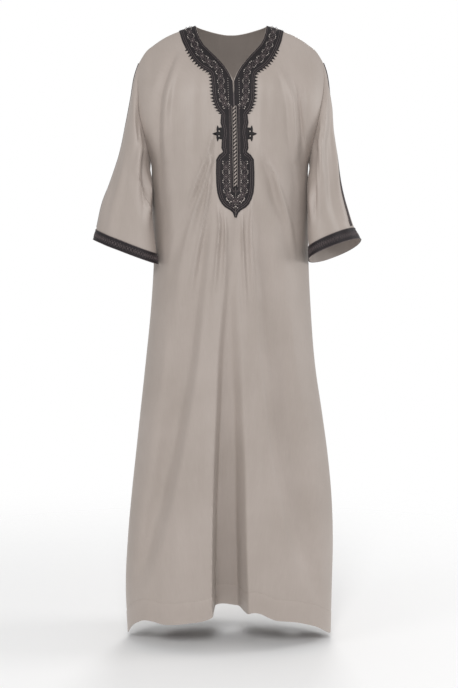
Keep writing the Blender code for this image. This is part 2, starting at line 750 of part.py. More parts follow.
def front_panel():
    """One piece: its two half grids share the middle line below the slit."""
    right, left = halves[-1].copy(), halves[1][:, ::-1].copy()
    rows, half = right.shape[0], HALF_COLUMNS + 1
    joined = np.full((rows, 2 * half), -1)
    points = []
    grid = np.concatenate([right, left], axis=1)
    for row in range(rows):
        for column in range(2 * half):
            if column == half and row >= SLIT_END_ROW:
                joined[row, column] = joined[row, column - 1]
                continue
            joined[row, column] = len(points)
            points.append(grid[row, column])
    points = np.array(points)
    faces = []
    for row in range(rows - 1):
        for column in range(2 * half - 1):
            if column == half - 1:
                continue
            near, near_after = joined[row, column : column + 2].tolist()
            far, far_after = joined[row + 1, column : column + 2].tolist()
            faces.append((near, far, far_after))
            faces.append((near, far_after, near_after))
    faces = outward(faces, points, np.array([0, -1, 0.2]))
    normals = point_normals(points, faces)
    spread = normals[joined]
    spread[0] = seam_normal_on_shoulder(grid[0, :, 0])
    panel_seam_normals(spread, rows, 2 * half, 0, -1, -1)
    panel_seam_normals(spread, rows, 2 * half, 2 * half - 1, +1, -1)
    normals[joined] = spread
    return points, faces, normals, joined


front_points, front_faces, front_normals, front_index = front_panel()
back_faces = outward(
    grid_faces(back.shape[0], back.shape[1]), back.reshape(-1, 3), np.array([0, 1, 0.2])
)
back_normals = point_normals(back.reshape(-1, 3), back_faces).reshape(back.shape)
on_shoulder = np.abs(back[0, :, 0]) > NECK_HALF
back_normals[0, on_shoulder] = seam_normal_on_shoulder(back[0, on_shoulder, 0])
panel_seam_normals(back_normals, back.shape[0], back.shape[1], 0, -1, +1)
panel_seam_normals(back_normals, back.shape[0], back.shape[1], back.shape[1] - 1, +1, +1)

# The shared seam normals also go on the sleeves' first rings
for wing in (-1, 1):
    column = 0 if wing < 0 else -1
    front_edge = front_normals[front_index[: ROWS_ABOVE + 1, column]]
    walls[wing][2][: ROWS_ABOVE + 1] = front_edge
    walls[wing][2][ROWS_ABOVE + 1 : 2 * ROWS_ABOVE] = back_normals[ROWS_ABOVE - 1 : 0 : -1, column]

# Seam gaps, then the walls
front_grid = front_points[front_index]
pulled(front_grid, np.s_[0, :], np.s_[1, :])
pulled(front_grid, np.s_[:, 0], np.s_[:, 1])
pulled(front_grid, np.s_[:, -1], np.s_[:, -2])
front_points[front_index] = front_grid
pulled(back, np.s_[0, on_shoulder], np.s_[1, on_shoulder])
pulled(back, np.s_[:, 0], np.s_[:, 1])
pulled(back, np.s_[:, -1], np.s_[:, -2])
add_wall("front_panel", front_points, front_faces, front_normals, CLOTH, cloth)
back_points = back.reshape(-1, 3)
add_wall("back_panel", back_points, back_faces, back_normals.reshape(-1, 3), CLOTH, cloth)
for wing, word in ((-1, "right"), (1, "left")):
    points, faces, normals = walls[wing]
    ring = points.reshape(sleeves[wing].shape)
    pulled(ring, 0, 1)
    add_wall(f"sleeve_{word}", points, faces, normals, CLOTH, cloth)


def tree_of(points, faces):
    return BVHTree.FromPolygons([Vector(point) for point in points], faces)


def laid_on(tree, places, side):
    """Places (x, down) found on a panel's real outer face."""
    guess = body_points(places[..., 0], places[..., 1], side).reshape(-1, 3)
    found = [np.array(tree.find_nearest(Vector(point))[0]) for point in guess]
    return np.array(found).reshape(*places.shape[:-1], 3)


def add_trim(name, grid, away, wrap=False, finish=stitched):
    """Trim laid on cloth: the cloth's own places, moved out, with a thin wall of its own."""
    points = grid.reshape(-1, 3)
    faces = outward(grid_faces(grid.shape[0], grid.shape[1], wrap), points, np.array(away))
    normals = point_normals(points, faces)
    return add_wall(name, points + normals * (TRIM_LIFT + TRIM), faces, normals, TRIM, finish)


def band_stations():
    """Stations along the embroidered band, crowded into a valley and a tip for each tooth."""
    outer = np.stack([BAND["outer_out"], BAND["outer_down"]], axis=1)
    length = np.concatenate([[0], np.cumsum(np.linalg.norm(np.diff(outer, axis=0), axis=1))])
    toothed = length[TEETH_TO] - length[TEETH_FROM]
    teeth = round(toothed / TOOTH_PITCH)
    tooth_at = length[TEETH_FROM] + np.linspace(0, toothed, 2 * teeth + 1)
    # Over the shoulder the cloth bends most, so the stations lie closer there
    bend = np.linspace(0, 1, SHOULDER_STATIONS + 1)[:-1] ** SHOULDER_CROWDING
    bend *= length[TEETH_FROM]
    at = np.concatenate([bend, tooth_at, length[TEETH_TO + 1 :]])
    extra = np.zeros(len(at))
    first = SHOULDER_STATIONS
    extra[first : first + 2 * teeth + 1 : 2] = -TOOTH_DEPTH / 2
    extra[first + 1 : first + 2 * teeth : 2] = TOOTH_DEPTH / 2
    return at, extra, length


def front_band(wing, tree):
    at, extra, length = band_stations()
    inner_down, inner_out, outer_down, outer_out = (
        np.interp(at, length, BAND[name])
        for name in ("inner_down", "inner_out", "outer_down", "outer_out")
    )
    inner = np.stack([inner_out, inner_down], axis=1)
    outer = np.stack([outer_out, outer_down], axis=1)
    outer += extra[:, None] * unit(outer - inner)
    across = np.linspace(0, 1, BAND_ACROSS + 1)[None, :, None]
    places = inner[:, None] * (1 - across) + outer[:, None] * across
    places[..., 0] = placket_x(places[..., 1]) + wing * places[..., 0]
    places[0, :, 1] += SEAM_GAP
    return laid_on(tree, places, -1)


front_tree = tree_of(front_points, front_faces)
back_tree = tree_of(back_points, back_faces)
for wing, word in ((-1, "right"), (1, "left")):
    add_trim(f"neck_band_{word}", front_band(wing, front_tree), (0, -1, 0.2))


def back_band():
    """The band goes on round the back of the neck, between the two shoulder seams."""
    t = np.linspace(-1, 1, BACK_BAND_COLUMNS + 1)
    inner = np.stack([t * NECK_HALF, back_neck_down(t * NECK_HALF)], axis=1)
    to_seam = t**BACK_BAND_POWER
    outer_down = shoulder_down(t * BACK_BAND_ENDS_OUT) * to_seam
    outer_down += (inner[:, 1] + BACK_BAND_WIDTH) * (1 - to_seam)
    outer = np.stack([t * BACK_BAND_ENDS_OUT, outer_down], axis=1)
    across = np.linspace(0, 1, BACK_BAND_ROWS + 1)[:, None, None]
    places = inner[None] * (1 - across) + outer[None] * across
    places[:, [0, -1], 1] += SEAM_GAP
    return laid_on(back_tree, places, +1)


add_trim("neck_band_back", back_band(), (0, 1, 0.5))


def braid_places():
    down = np.linspace(BRAID_TOP, BRAID_BOTTOM, BRAID_ROWS)[:, None]
    out = np.linspace(-BRAID_HALF, BRAID_HALF, 3)[None]
    x = placket_x(down) + out
    return np.stack([x, np.broadcast_to(down, x.shape)], axis=-1)


# The braid lies on the two halves of the band, so it is raised by their thickness
braid = laid_on(front_tree, braid_places(), -1)
braid[..., 1] -= TRIM + TRIM_LIFT
add_trim("placket_braid", braid, (0, -1, 0))


def add_star(name, wing):
    """Star of four long and four short points round a middle, as one closed plate."""
    reach = np.tile(STAR_REACH, 4)
    turn = np.arange(len(reach)) * 2 * np.pi / len(reach)
    ring = np.stack([np.sin(turn) * reach * STAR_WIDE, np.cos(turn) * reach * STAR_HIGH], axis=1)
    places = np.array([ring * size for size in (STAR_EYE, 1.0)])
    places[..., 0] += placket_x(STAR_DOWN) + wing * STAR_OUT
    places[..., 1] += STAR_DOWN
    return add_trim(name, laid_on(front_tree, places, -1), (0, -1, 0), wrap=True)


for wing, word in ((-1, "right"), (1, "left")):
    add_star(f"star_{word}", wing)


def cuff_grid(wing):
    first = SLEEVE_ROWS.index(CUFF_FROM)
    return walls[wing][0].reshape(sleeves[wing].shape)[first:]


def stripe_grid(wing):
    """Strip beside the sleeve's outer line, made from its points there."""
    grid = walls[wing][0].reshape(sleeves[wing].shape)[: SLEEVE_ROWS.index(CUFF_FROM)]
    rows = []
    for share, ring in zip(SLEEVE_ROWS, grid):
        near = np.array([ring[place] for place in range(STRIPE_SPAN, -STRIPE_SPAN - 1, -1)])
        along = np.concatenate([[0], np.cumsum(np.linalg.norm(np.diff(near, axis=0), axis=1))])
        middle = along[STRIPE_SPAN] + straight(STRIPE, "right" if wing < 0 else "left", share, along="share")
        at = middle + np.array([-STRIPE_HALF, 0.0, STRIPE_HALF])
        rows.append(np.stack([np.interp(at, along, near[:, axis]) for axis in range(3)], axis=1))
    return np.array(rows)


for wing, word in ((-1, "right"), (1, "left")):
    add_trim(f"cuff_{word}", cuff_grid(wing), (wing, 0, 0.2), wrap=True)
    add_trim(f"sleeve_stripe_{word}", stripe_grid(wing), (wing, 0, 0.2))
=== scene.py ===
import math

import bpy
import numpy as np
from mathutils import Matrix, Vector


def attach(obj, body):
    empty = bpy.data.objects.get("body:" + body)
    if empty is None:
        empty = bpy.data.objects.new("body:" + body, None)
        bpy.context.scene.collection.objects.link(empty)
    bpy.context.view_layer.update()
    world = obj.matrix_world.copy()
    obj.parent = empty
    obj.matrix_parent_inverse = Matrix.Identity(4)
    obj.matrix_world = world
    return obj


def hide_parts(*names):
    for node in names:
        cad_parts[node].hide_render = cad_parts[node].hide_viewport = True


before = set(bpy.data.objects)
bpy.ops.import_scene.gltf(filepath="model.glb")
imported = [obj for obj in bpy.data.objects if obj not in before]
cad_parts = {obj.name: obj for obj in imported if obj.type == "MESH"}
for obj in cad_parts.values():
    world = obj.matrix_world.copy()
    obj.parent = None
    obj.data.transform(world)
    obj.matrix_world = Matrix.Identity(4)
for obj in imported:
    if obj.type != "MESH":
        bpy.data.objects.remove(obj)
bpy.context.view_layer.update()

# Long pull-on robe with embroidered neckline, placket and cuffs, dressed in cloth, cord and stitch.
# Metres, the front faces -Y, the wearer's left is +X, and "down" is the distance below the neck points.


def table(names, *rows):
    """Rows written under their column names, kept as one array for each column."""
    return dict(zip(names.split(), np.array(rows, float).T))


# Camera: at the height of the plate, with a long lens pitched a little down
CAMERA_PLACE = (-0.005, -3.6, -0.40)
CAMERA_PITCH_DOWN = 5.4
CAMERA_LENS, CAMERA_SENSOR = 80, 36

# Cloth, seams and trims
CLOTH = 0.0011
SEAM_GAP = 0.0002
SEAM_DIP = 0.0006
PLATE = 0.0010
PLATE_LIFT = 0.0003
ARMPIT_NORMAL = (0, 0, -1)
SHARP_DEGREES, STITCH_SHARP_DEGREES = 50, 80

# Threads of the cloth's mesh
ROWS_ABOVE = 64
ROWS_BELOW = 96
HALF_COLUMNS = 104
BACK_COLUMNS = 188
SLEEVE_ROWS = 84
ROW_CROWDING = 1.1
DENSE = 700

# Plan of the body: a rounded oblong whose two halves meet at the side seams
SIDE_ROUNDING = 2.3
ARMPIT_DOWN = 0.315
BODY = table(
    "down  right  left   side_y front  back",
    (0.00, 0.240, 0.240, 0.000, 0.088, 0.078),
    (0.08, 0.240, 0.240, 0.000, 0.106, 0.098),
    (0.15, 0.238, 0.237, 0.000, 0.114, 0.110),
    (0.22, 0.226, 0.222, 0.000, 0.118, 0.114),
    (0.27, 0.206, 0.200, 0.002, 0.121, 0.114),
    (0.315, 0.1882, 0.1822, 0.006, 0.123, 0.113),
    (0.37, 0.1872, 0.1813, 0.016, 0.124, 0.110),
    (0.45, 0.1850, 0.1820, 0.027, 0.124, 0.108),
    (0.53, 0.183, 0.183, 0.030, 0.124, 0.110),
    (0.64, 0.189, 0.188, 0.028, 0.126, 0.118),
    (0.80, 0.205, 0.201, 0.023, 0.129, 0.131),
    (0.90, 0.216, 0.216, 0.018, 0.131, 0.137),
    (1.00, 0.227, 0.230, 0.016, 0.134, 0.142),
    (1.10, 0.238, 0.240, 0.014, 0.137, 0.146),
    (1.20, 0.247, 0.244, 0.010, 0.140, 0.150),
    (1.32, 0.253, 0.242, 0.005, 0.142, 0.152),
    (1.44, 0.248, 0.239, 0.000, 0.142, 0.152),
)

# Shoulder seam seen from the front, and how the cloth rounds over it to the chest and the back
NECK_HALF = 0.082
SHOULDER = table(
    "x      down",
    (0.000, 0.000),
    (0.082, 0.000),
    (0.121, 0.0115),
    (0.156, 0.027),
    (0.180, 0.043),
    (0.199, 0.059),
    (0.213, 0.081),
    (0.240, 0.140),
)
FRONT_ROUND, FRONT_ROUND_POWER = 0.165, 0.70
BACK_ROUND, BACK_ROUND_POWER = 0.150, 0.62
BACK_NECK_DOWN, BACK_NECK_POWER = 0.018, 0.8

# Armhole edges, from the shoulder point to the armpit
ARMHOLE = table(
    "down    right  left",
    (0.081, 0.2130, 0.2130),
    (0.120, 0.2160, 0.2150),
    (0.160, 0.2145, 0.2115),
    (0.205, 0.2115, 0.2030),
    (0.245, 0.2020, 0.1945),
    (0.285, 0.1935, 0.1855),
    (0.315, 0.1870, 0.1810),
)

# Neckline and front slit, by share of the rows from the shoulder seam to the armpit
SLIT_HALF = 0.0010
SLIT_END_SHARE = 0.825
NECK_EDGE = table(
    "share down   out",
    (0.00, 0.000, 0.082),
    (0.14, 0.024, 0.0765),
    (0.26, 0.047, 0.0665),
    (0.36, 0.064, 0.050),
    (0.46, 0.082, 0.034),
    (0.55, 0.098, 0.0205),
    (0.63, 0.111, 0.0115),
    (0.70, 0.123, 0.0050),
    (0.76, 0.134, SLIT_HALF),
    (0.86, 0.195, SLIT_HALF),
    (1.00, 0.315, 0.0),
)
# The worked opening leans a little to the wearer's left
PLACKET_LEAN = table("down x", (0.0, 0.0), (0.12, 0.0045), (0.44, 0.010), (0.60, 0.010))

# Hem edge: the sides hang lower than the middle
SIDE_HEM_DOWN = 1.434
HEM_FRONT = table(
    "x       down",
    (-0.248, SIDE_HEM_DOWN),
    (-0.236, 1.410),
    (-0.214, 1.389),
    (-0.155, 1.386),
    (-0.105, 1.379),
    (-0.058, 1.367),
    (-0.041, 1.358),
    (0.018, 1.360),
    (0.041, 1.352),
    (0.095, 1.371),
    (0.160, 1.385),
    (0.205, 1.405),
    (0.239, SIDE_HEM_DOWN),
)
HEM_BACK_MIDDLE, HEM_BACK_POWER = 1.388, 4

# Folds are troughs pressed in from the outside. Each starts at a crest, falls over a first wall, may
# run level, and climbs back over a second wall. Widths count from the crest towards the turn, +1 for
# the wearer's left. They die away before the side seams, where the two panels have one edge.
FOLDS_FADE_FROM, FOLDS_FADE_OVER = 0.72, 0.24


def fold(turn, *rows):
    """One fold of the body, with the way that its widths count."""
    return turn, table("down start first floor second depth", *rows)


FRONT_FOLDS = (
    # Middle fold, which deepens all the way to the hem
    fold(
        +1,
        (0.47, -0.006, 0.012, 0.000, 0.020, 0.000),
        (0.62, -0.020, 0.014, 0.002, 0.022, 0.007),
        (0.74, -0.031, 0.016, 0.014, 0.027, 0.014),
        (0.89, -0.036, 0.014, 0.026, 0.028, 0.026),
        (1.00, -0.040, 0.012, 0.036, 0.028, 0.040),
        (1.13, -0.043, 0.010, 0.042, 0.028, 0.060),
        (1.26, -0.044, 0.008, 0.048, 0.028, 0.084),
        (1.40, -0.044, 0.007, 0.054, 0.027, 0.112),
    ),
    # Long fold from the wearer's right of the placket to the right hem corner
    fold(
        -1,
        (0.33, -0.036, 0.014, 0.000, 0.030, 0.000),
        (0.44, -0.040, 0.018, 0.000, 0.040, 0.008),
        (0.62, -0.056, 0.022, 0.000, 0.052, 0.016),
        (0.74, -0.068, 0.026, 0.000, 0.060, 0.021),
        (0.89, -0.090, 0.028, 0.000, 0.066, 0.026),
        (1.05, -0.121, 0.032, 0.000, 0.060, 0.029),
        (1.20, -0.156, 0.036, 0.000, 0.052, 0.025),
        (1.30, -0.196, 0.030, 0.000, 0.034, 0.014),
        (1.40, -0.236, 0.020, 0.000, 0.020, 0.000),
    ),
    # Long fold from the wearer's left of the placket to the left hem corner
    fold(
        +1,
        (0.42, 0.048, 0.016, 0.000, 0.030, 0.000),
        (0.49, 0.046, 0.020, 0.000, 0.036, 0.008),
        (0.62, 0.051, 0.026, 0.004, 0.046, 0.016),
        (0.82, 0.067, 0.030, 0.010, 0.060, 0.025),
        (0.96, 0.084, 0.030, 0.012, 0.066, 0.029),
        (1.07, 0.102, 0.032, 0.010, 0.064, 0.028),
        (1.18, 0.126, 0.034, 0.006, 0.058, 0.023),
        (1.28, 0.160, 0.032, 0.000, 0.044, 0.014),
        (1.38, 0.220, 0.016, 0.000, 0.016, 0.000),
    ),
    # Crease from the right shoulder down past the armhole
    fold(
        -1,
        (0.06, -0.116, 0.012, 0.000, 0.020, 0.000),
        (0.09, -0.124, 0.012, 0.000, 0.024, 0.007),
        (0.16, -0.143, 0.014, 0.000, 0.030, 0.009),
        (0.24, -0.150, 0.014, 0.000, 0.030, 0.007),
        (0.36, -0.147, 0.014, 0.000, 0.024, 0.004),
        (0.46, -0.142, 0.014, 0.000, 0.020, 0.000),
    ),
    # Crease on the left chest that falls from the collar towards the armpit
    fold(
        +1,
        (0.07, 0.122, 0.012, 0.000, 0.020, 0.000),
        (0.15, 0.138, 0.014, 0.000, 0.024, 0.006),
        (0.28, 0.150, 0.014, 0.000, 0.024, 0.006),
        (0.40, 0.156, 0.012, 0.000, 0.018, 0.002),
        (0.46, 0.158, 0.010, 0.000, 0.012, 0.000),
    ),
    # Slanting drape from the placket to the left hip
    fold(
        -1,
        (0.29, 0.076, 0.008, 0.000, 0.012, 0.000),
        (0.33, 0.096, 0.010, 0.000, 0.024, 0.005),
        (0.39, 0.117, 0.014, 0.000, 0.034, 0.007),
        (0.47, 0.140, 0.016, 0.000, 0.036, 0.006),
        (0.58, 0.154, 0.014, 0.000, 0.030, 0.000),
    ),
    # Gathered drape from the placket to the right hip
    fold(
        +1,
        (0.31, -0.066, 0.008, 0.000, 0.014, 0.000),
        (0.37, -0.088, 0.012, 0.000, 0.020, 0.005),
        (0.45, -0.120, 0.014, 0.000, 0.026, 0.006),
        (0.53, -0.144, 0.014, 0.000, 0.026, 0.004),
        (0.62, -0.158, 0.012, 0.000, 0.022, 0.000),
    ),
)
# Soft hanging folds of the back
BACK_FOLDS = (
    fold(
        +1,
        (0.20, -0.016, 0.020, 0.000, 0.026, 0.000),
        (0.45, -0.020, 0.024, 0.000, 0.034, 0.008),
        (0.80, -0.026, 0.026, 0.004, 0.040, 0.018),
        (1.10, -0.030, 0.026, 0.008, 0.044, 0.030),
        (1.43, -0.034, 0.026, 0.012, 0.048, 0.044),
    ),
    fold(
        -1,
        (0.16, -0.086, 0.018, 0.000, 0.026, 0.000),
        (0.42, -0.084, 0.020, 0.000, 0.034, 0.008),
        (0.80, -0.100, 0.024, 0.000, 0.042, 0.017),
        (1.10, -0.116, 0.028, 0.004, 0.046, 0.027),
        (1.43, -0.128, 0.028, 0.006, 0.050, 0.034),
    ),
    fold(
        +1,
        (0.22, 0.080, 0.018, 0.000, 0.028, 0.000),
        (0.50, 0.086, 0.022, 0.000, 0.036, 0.009),
        (0.86, 0.100, 0.026, 0.002, 0.040, 0.019),
        (1.15, 0.112, 0.028, 0.004, 0.046, 0.028),
        (1.43, 0.120, 0.030, 0.004, 0.050, 0.036),
    ),
)

# Sleeves: the outer line runs from the shoulder point, the inner line from the armpit, and each ring
# is a rounded oblong between them. "lift" raises the front of a ring, and "sink" lowers its back.
SLEEVE_COLUMNS = "share out_x out_y out_down in_x in_y in_down front back lift sink"
SLEEVE_RIGHT = table(
    SLEEVE_COLUMNS,
    (0.00, 0.213, 0.000, 0.081, 0.187, 0.006, 0.315, 0.066, 0.066, 0.000, 0.000),
    (0.08, 0.223, 0.000, 0.108, 0.1905, 0.002, 0.334, 0.070, 0.068, 0.000, 0.000),
    (0.24, 0.234, 0.002, 0.165, 0.1865, -0.012, 0.368, 0.072, 0.064, 0.000, 0.000),
    (0.40, 0.246, 0.004, 0.224, 0.1838, -0.024, 0.405, 0.069, 0.060, 0.000, 0.000),
    (0.56, 0.261, 0.004, 0.292, 0.1822, -0.036, 0.440, 0.064, 0.054, 0.000, 0.000),
    (0.72, 0.284, 0.004, 0.360, 0.1785, -0.044, 0.475, 0.058, 0.050, 0.000, 0.000),
    (0.86, 0.306, 0.002, 0.420, 0.1750, -0.047, 0.503, 0.054, 0.050, 0.000, 0.000),
    (0.93, 0.316, 0.002, 0.466, 0.173, -0.048, 0.522, 0.053, 0.050, 0.000, -0.003),
    (1.00, 0.323, 0.000, 0.493, 0.170, -0.050, 0.549, 0.052, 0.051, 0.000, -0.006),
)
SLEEVE_LEFT = table(
    SLEEVE_COLUMNS,
    (0.00, 0.2130, 0.000, 0.081, 0.181, 0.006, 0.315, 0.066, 0.066, 0.000, 0.000),
    (0.08, 0.221, 0.000, 0.104, 0.1850, 0.002, 0.334, 0.070, 0.068, 0.000, 0.000),
    (0.24, 0.229, 0.002, 0.160, 0.1812, -0.012, 0.368, 0.072, 0.065, 0.000, 0.002),
    (0.40, 0.233, 0.004, 0.222, 0.1785, -0.024, 0.404, 0.069, 0.062, 0.001, 0.004),
    (0.56, 0.246, 0.004, 0.292, 0.1775, -0.034, 0.436, 0.063, 0.058, 0.003, 0.007),
    (0.72, 0.257, 0.004, 0.362, 0.1770, -0.041, 0.468, 0.056, 0.056, 0.006, 0.010),
    (0.86, 0.273, 0.002, 0.420, 0.1785, -0.046, 0.492, 0.052, 0.056, 0.010, 0.014),
    (0.93, 0.288, 0.000, 0.466, 0.1795, -0.049, 0.508, 0.051, 0.058, 0.013, 0.017),
    (1.00, 0.304, 0.000, 0.496, 0.1800, -0.051, 0.538, 0.051, 0.060, 0.015, 0.020),
)
CUFF_FROM = 0.93
SLEEVE_ROUNDING = 2.2
ARMHOLE_FADE_POWER = 3
SLEEVE_FOLDS_FROM = 0.08
SLEEVE_CROWDING = 0.08
# Creases of the sleeves: "around" runs from the outer line (0) over the front (0.25) to the back


def sleeve_fold(*rows):
    """Large crease of a sleeve, as a depth."""
    return table("share around half depth", *rows)


SLEEVE_RIGHT_FOLDS = (
    sleeve_fold(
        (0.00, 0.36, 0.05, 0.000),
        (0.16, 0.36, 0.06, 0.010),
        (0.40, 0.34, 0.06, 0.007),
        (0.70, 0.32, 0.07, 0.000),
    ),
    sleeve_fold(
        (0.10, 0.66, 0.06, 0.000),
        (0.30, 0.66, 0.07, 0.009),
        (0.60, 0.70, 0.07, 0.008),
        (1.00, 0.72, 0.08, 0.002),
    ),
)
SLEEVE_LEFT_FOLDS = (
    sleeve_fold(
        (0.00, 0.38, 0.05, 0.000),
        (0.18, 0.38, 0.06, 0.009),
        (0.50, 0.36, 0.06, 0.008),
        (0.85, 0.34, 0.07, 0.000),
    ),
    sleeve_fold(
        (0.30, 0.16, 0.05, 0.000),
        (0.52, 0.18, 0.06, 0.006),
        (0.80, 0.20, 0.06, 0.006),
        (1.00, 0.20, 0.06, 0.002),
    ),
    sleeve_fold(
        (0.10, 0.64, 0.06, 0.000),
        (0.35, 0.66, 0.07, 0.009),
        (0.70, 0.68, 0.07, 0.008),
        (1.00, 0.70, 0.08, 0.003),
    ),
)


def sleeve_crease(*rows):
    """Smaller crease of a sleeve, as a height."""
    return table("share around half height", *rows)


SLEEVE_RIGHT_CREASES = (
    # Underarm, which hangs close against the body
    sleeve_crease(
        (0.01, 0.47, 0.060, 0.000),
        (0.10, 0.47, 0.065, 0.0045),
        (0.24, 0.47, 0.065, 0.0050),
        (0.36, 0.47, 0.060, 0.0030),
        (0.48, 0.47, 0.060, 0.000),
    ),
    sleeve_crease(
        (0.02, 0.30, 0.030, 0.000),
        (0.14, 0.31, 0.032, 0.006),
        (0.30, 0.28, 0.036, 0.006),
        (0.52, 0.25, 0.040, 0.000),
    ),
    sleeve_crease(
        (0.22, 0.43, 0.035, 0.000),
        (0.34, 0.41, 0.036, 0.008),
        (0.50, 0.39, 0.040, 0.008),
        (0.80, 0.37, 0.050, 0.000),
    ),
    sleeve_crease(
        (0.45, 0.14, 0.040, 0.000),
        (0.70, 0.16, 0.050, 0.004),
        (1.00, 0.18, 0.050, 0.003),
    ),
    # Sunken line beside the armhole seam, and the short fold that hooks out of it
    sleeve_crease(
        (0.01, 0.40, 0.030, 0.000),
        (0.10, 0.36, 0.034, -0.009),
        (0.26, 0.37, 0.034, -0.010),
        (0.40, 0.38, 0.032, -0.006),
        (0.50, 0.38, 0.030, 0.000),
    ),
    sleeve_crease(
        (0.44, 0.27, 0.022, 0.000),
        (0.48, 0.31, 0.026, 0.005),
        (0.53, 0.36, 0.026, 0.005),
        (0.58, 0.40, 0.022, 0.000),
    ),
)
SLEEVE_LEFT_CREASES = (
    # Underarm, which hangs close against the body
    sleeve_crease(
        (0.01, 0.47, 0.060, 0.000),
        (0.10, 0.47, 0.065, 0.0050),
        (0.24, 0.47, 0.065, 0.0055),
        (0.38, 0.47, 0.060, 0.0030),
        (0.52, 0.47, 0.060, 0.000),
    ),
    sleeve_crease(
        (0.02, 0.28, 0.030, 0.000),
        (0.16, 0.28, 0.032, 0.006),
        (0.40, 0.26, 0.036, 0.005),
        (0.60, 0.25, 0.040, 0.000),
    ),
    sleeve_crease(
        (0.10, 0.07, 0.030, 0.000),
        (0.30, 0.08, 0.032, 0.006),
        (0.60, 0.11, 0.036, 0.007),
        (0.90, 0.13, 0.040, 0.002),
    ),
    sleeve_crease(
        (0.25, 0.42, 0.035, 0.000),
        (0.45, 0.40, 0.036, 0.007),
        (0.80, 0.37, 0.050, 0.000),
    ),
)
# Braid down each sleeve: how far its middle lies behind the outer line, or in front of it if below 0
STRIPE_HALF, STRIPE_SPAN = 0.0045, 26
STRIPE = table(
    "share right left",
    (0.00, 0.006, 0.006),
    (0.20, 0.009, -0.002),
    (0.45, 0.012, -0.011),
    (0.60, 0.012, -0.018),
    (0.72, 0.012, -0.024),
    (0.93, 0.011, -0.036),
)

# Embroidered band of the neckline and placket: each row is one station along it, with the inner and
# the outer edge measured out from the placket's leaning middle line
BAND = table(
    "inner_down inner_out outer_down outer_out",
    (0.000, 0.0820, 0.0115, 0.1210),
    (0.018, 0.0785, 0.038, 0.1140),
    (0.034, 0.0730, 0.057, 0.1060),
    (0.048, 0.0655, 0.072, 0.0985),
    (0.060, 0.0545, 0.086, 0.0900),
    (0.071, 0.0440, 0.097, 0.0805),
    (0.084, 0.0325, 0.107, 0.0690),
    (0.098, 0.0205, 0.113, 0.0590),
    (0.111, 0.0120, 0.118, 0.0535),
    (0.123, 0.0060, 0.126, 0.0515),
    (0.135, 0.0016, 0.135, 0.0510),
    (0.154, 0.0014, 0.154, 0.0500),
    (0.174, 0.0008, 0.174, 0.0490),
    (0.190, 0.0006, 0.190, 0.0440),
    (0.202, 0.0004, 0.202, 0.0375),
    (0.2095, 0.0004, 0.2095, 0.0300),
    (0.228, 0.0004, 0.228, 0.0315),
    (0.242, 0.0004, 0.242, 0.0280),
    (0.252, 0.0004, 0.252, 0.0270),
    (0.262, 0.0004, 0.262, 0.0290),
    (0.284, 0.0004, 0.284, 0.0305),
    (0.293, 0.0004, 0.293, 0.0270),
    (0.300, 0.0004, 0.300, 0.0360),
    (0.310, 0.0004, 0.310, 0.0425),
    (0.338, 0.0004, 0.338, 0.0435),
    (0.366, 0.0004, 0.366, 0.0430),
    (0.385, 0.0004, 0.385, 0.0410),
    (0.399, 0.0004, 0.399, 0.0370),
    (0.410, 0.0004, 0.410, 0.0310),
    (0.418, 0.0004, 0.418, 0.0230),
    (0.4245, 0.0004, 0.4245, 0.0120),
    (0.430, 0.0004, 0.430, 0.0065),
    (0.441, 0.0004, 0.441, 0.0022),
)
BAND_ACROSS = 12
TOOTH_PITCH, TOOTH_DEPTH = 0.0077, 0.0072
TEETH_FROM, TEETH_TO = 2, 15
BACK_BAND_WIDTH, BACK_BAND_ENDS_OUT = 0.041, 0.121
BACK_BAND_COLUMNS, BACK_BAND_ROWS, BACK_BAND_POWER = 90, 10, 4

# Braid over the closed slit, and the star ornaments beside the waist of the placket
BRAID_TOP, BRAID_BOTTOM, BRAID_HALF = 0.190, 0.372, 0.0065
STAR_DOWN, STAR_OUT = 0.252, 0.0388

# Creases given one by one: soft ridges, or troughs where the height is negative. "right" and "left"
# are their widths towards the wearer's right and left, so that a crease can be steeper on one side.


def crease(*rows):
    """One crease of the body."""
    return table("down x right left height", *rows)


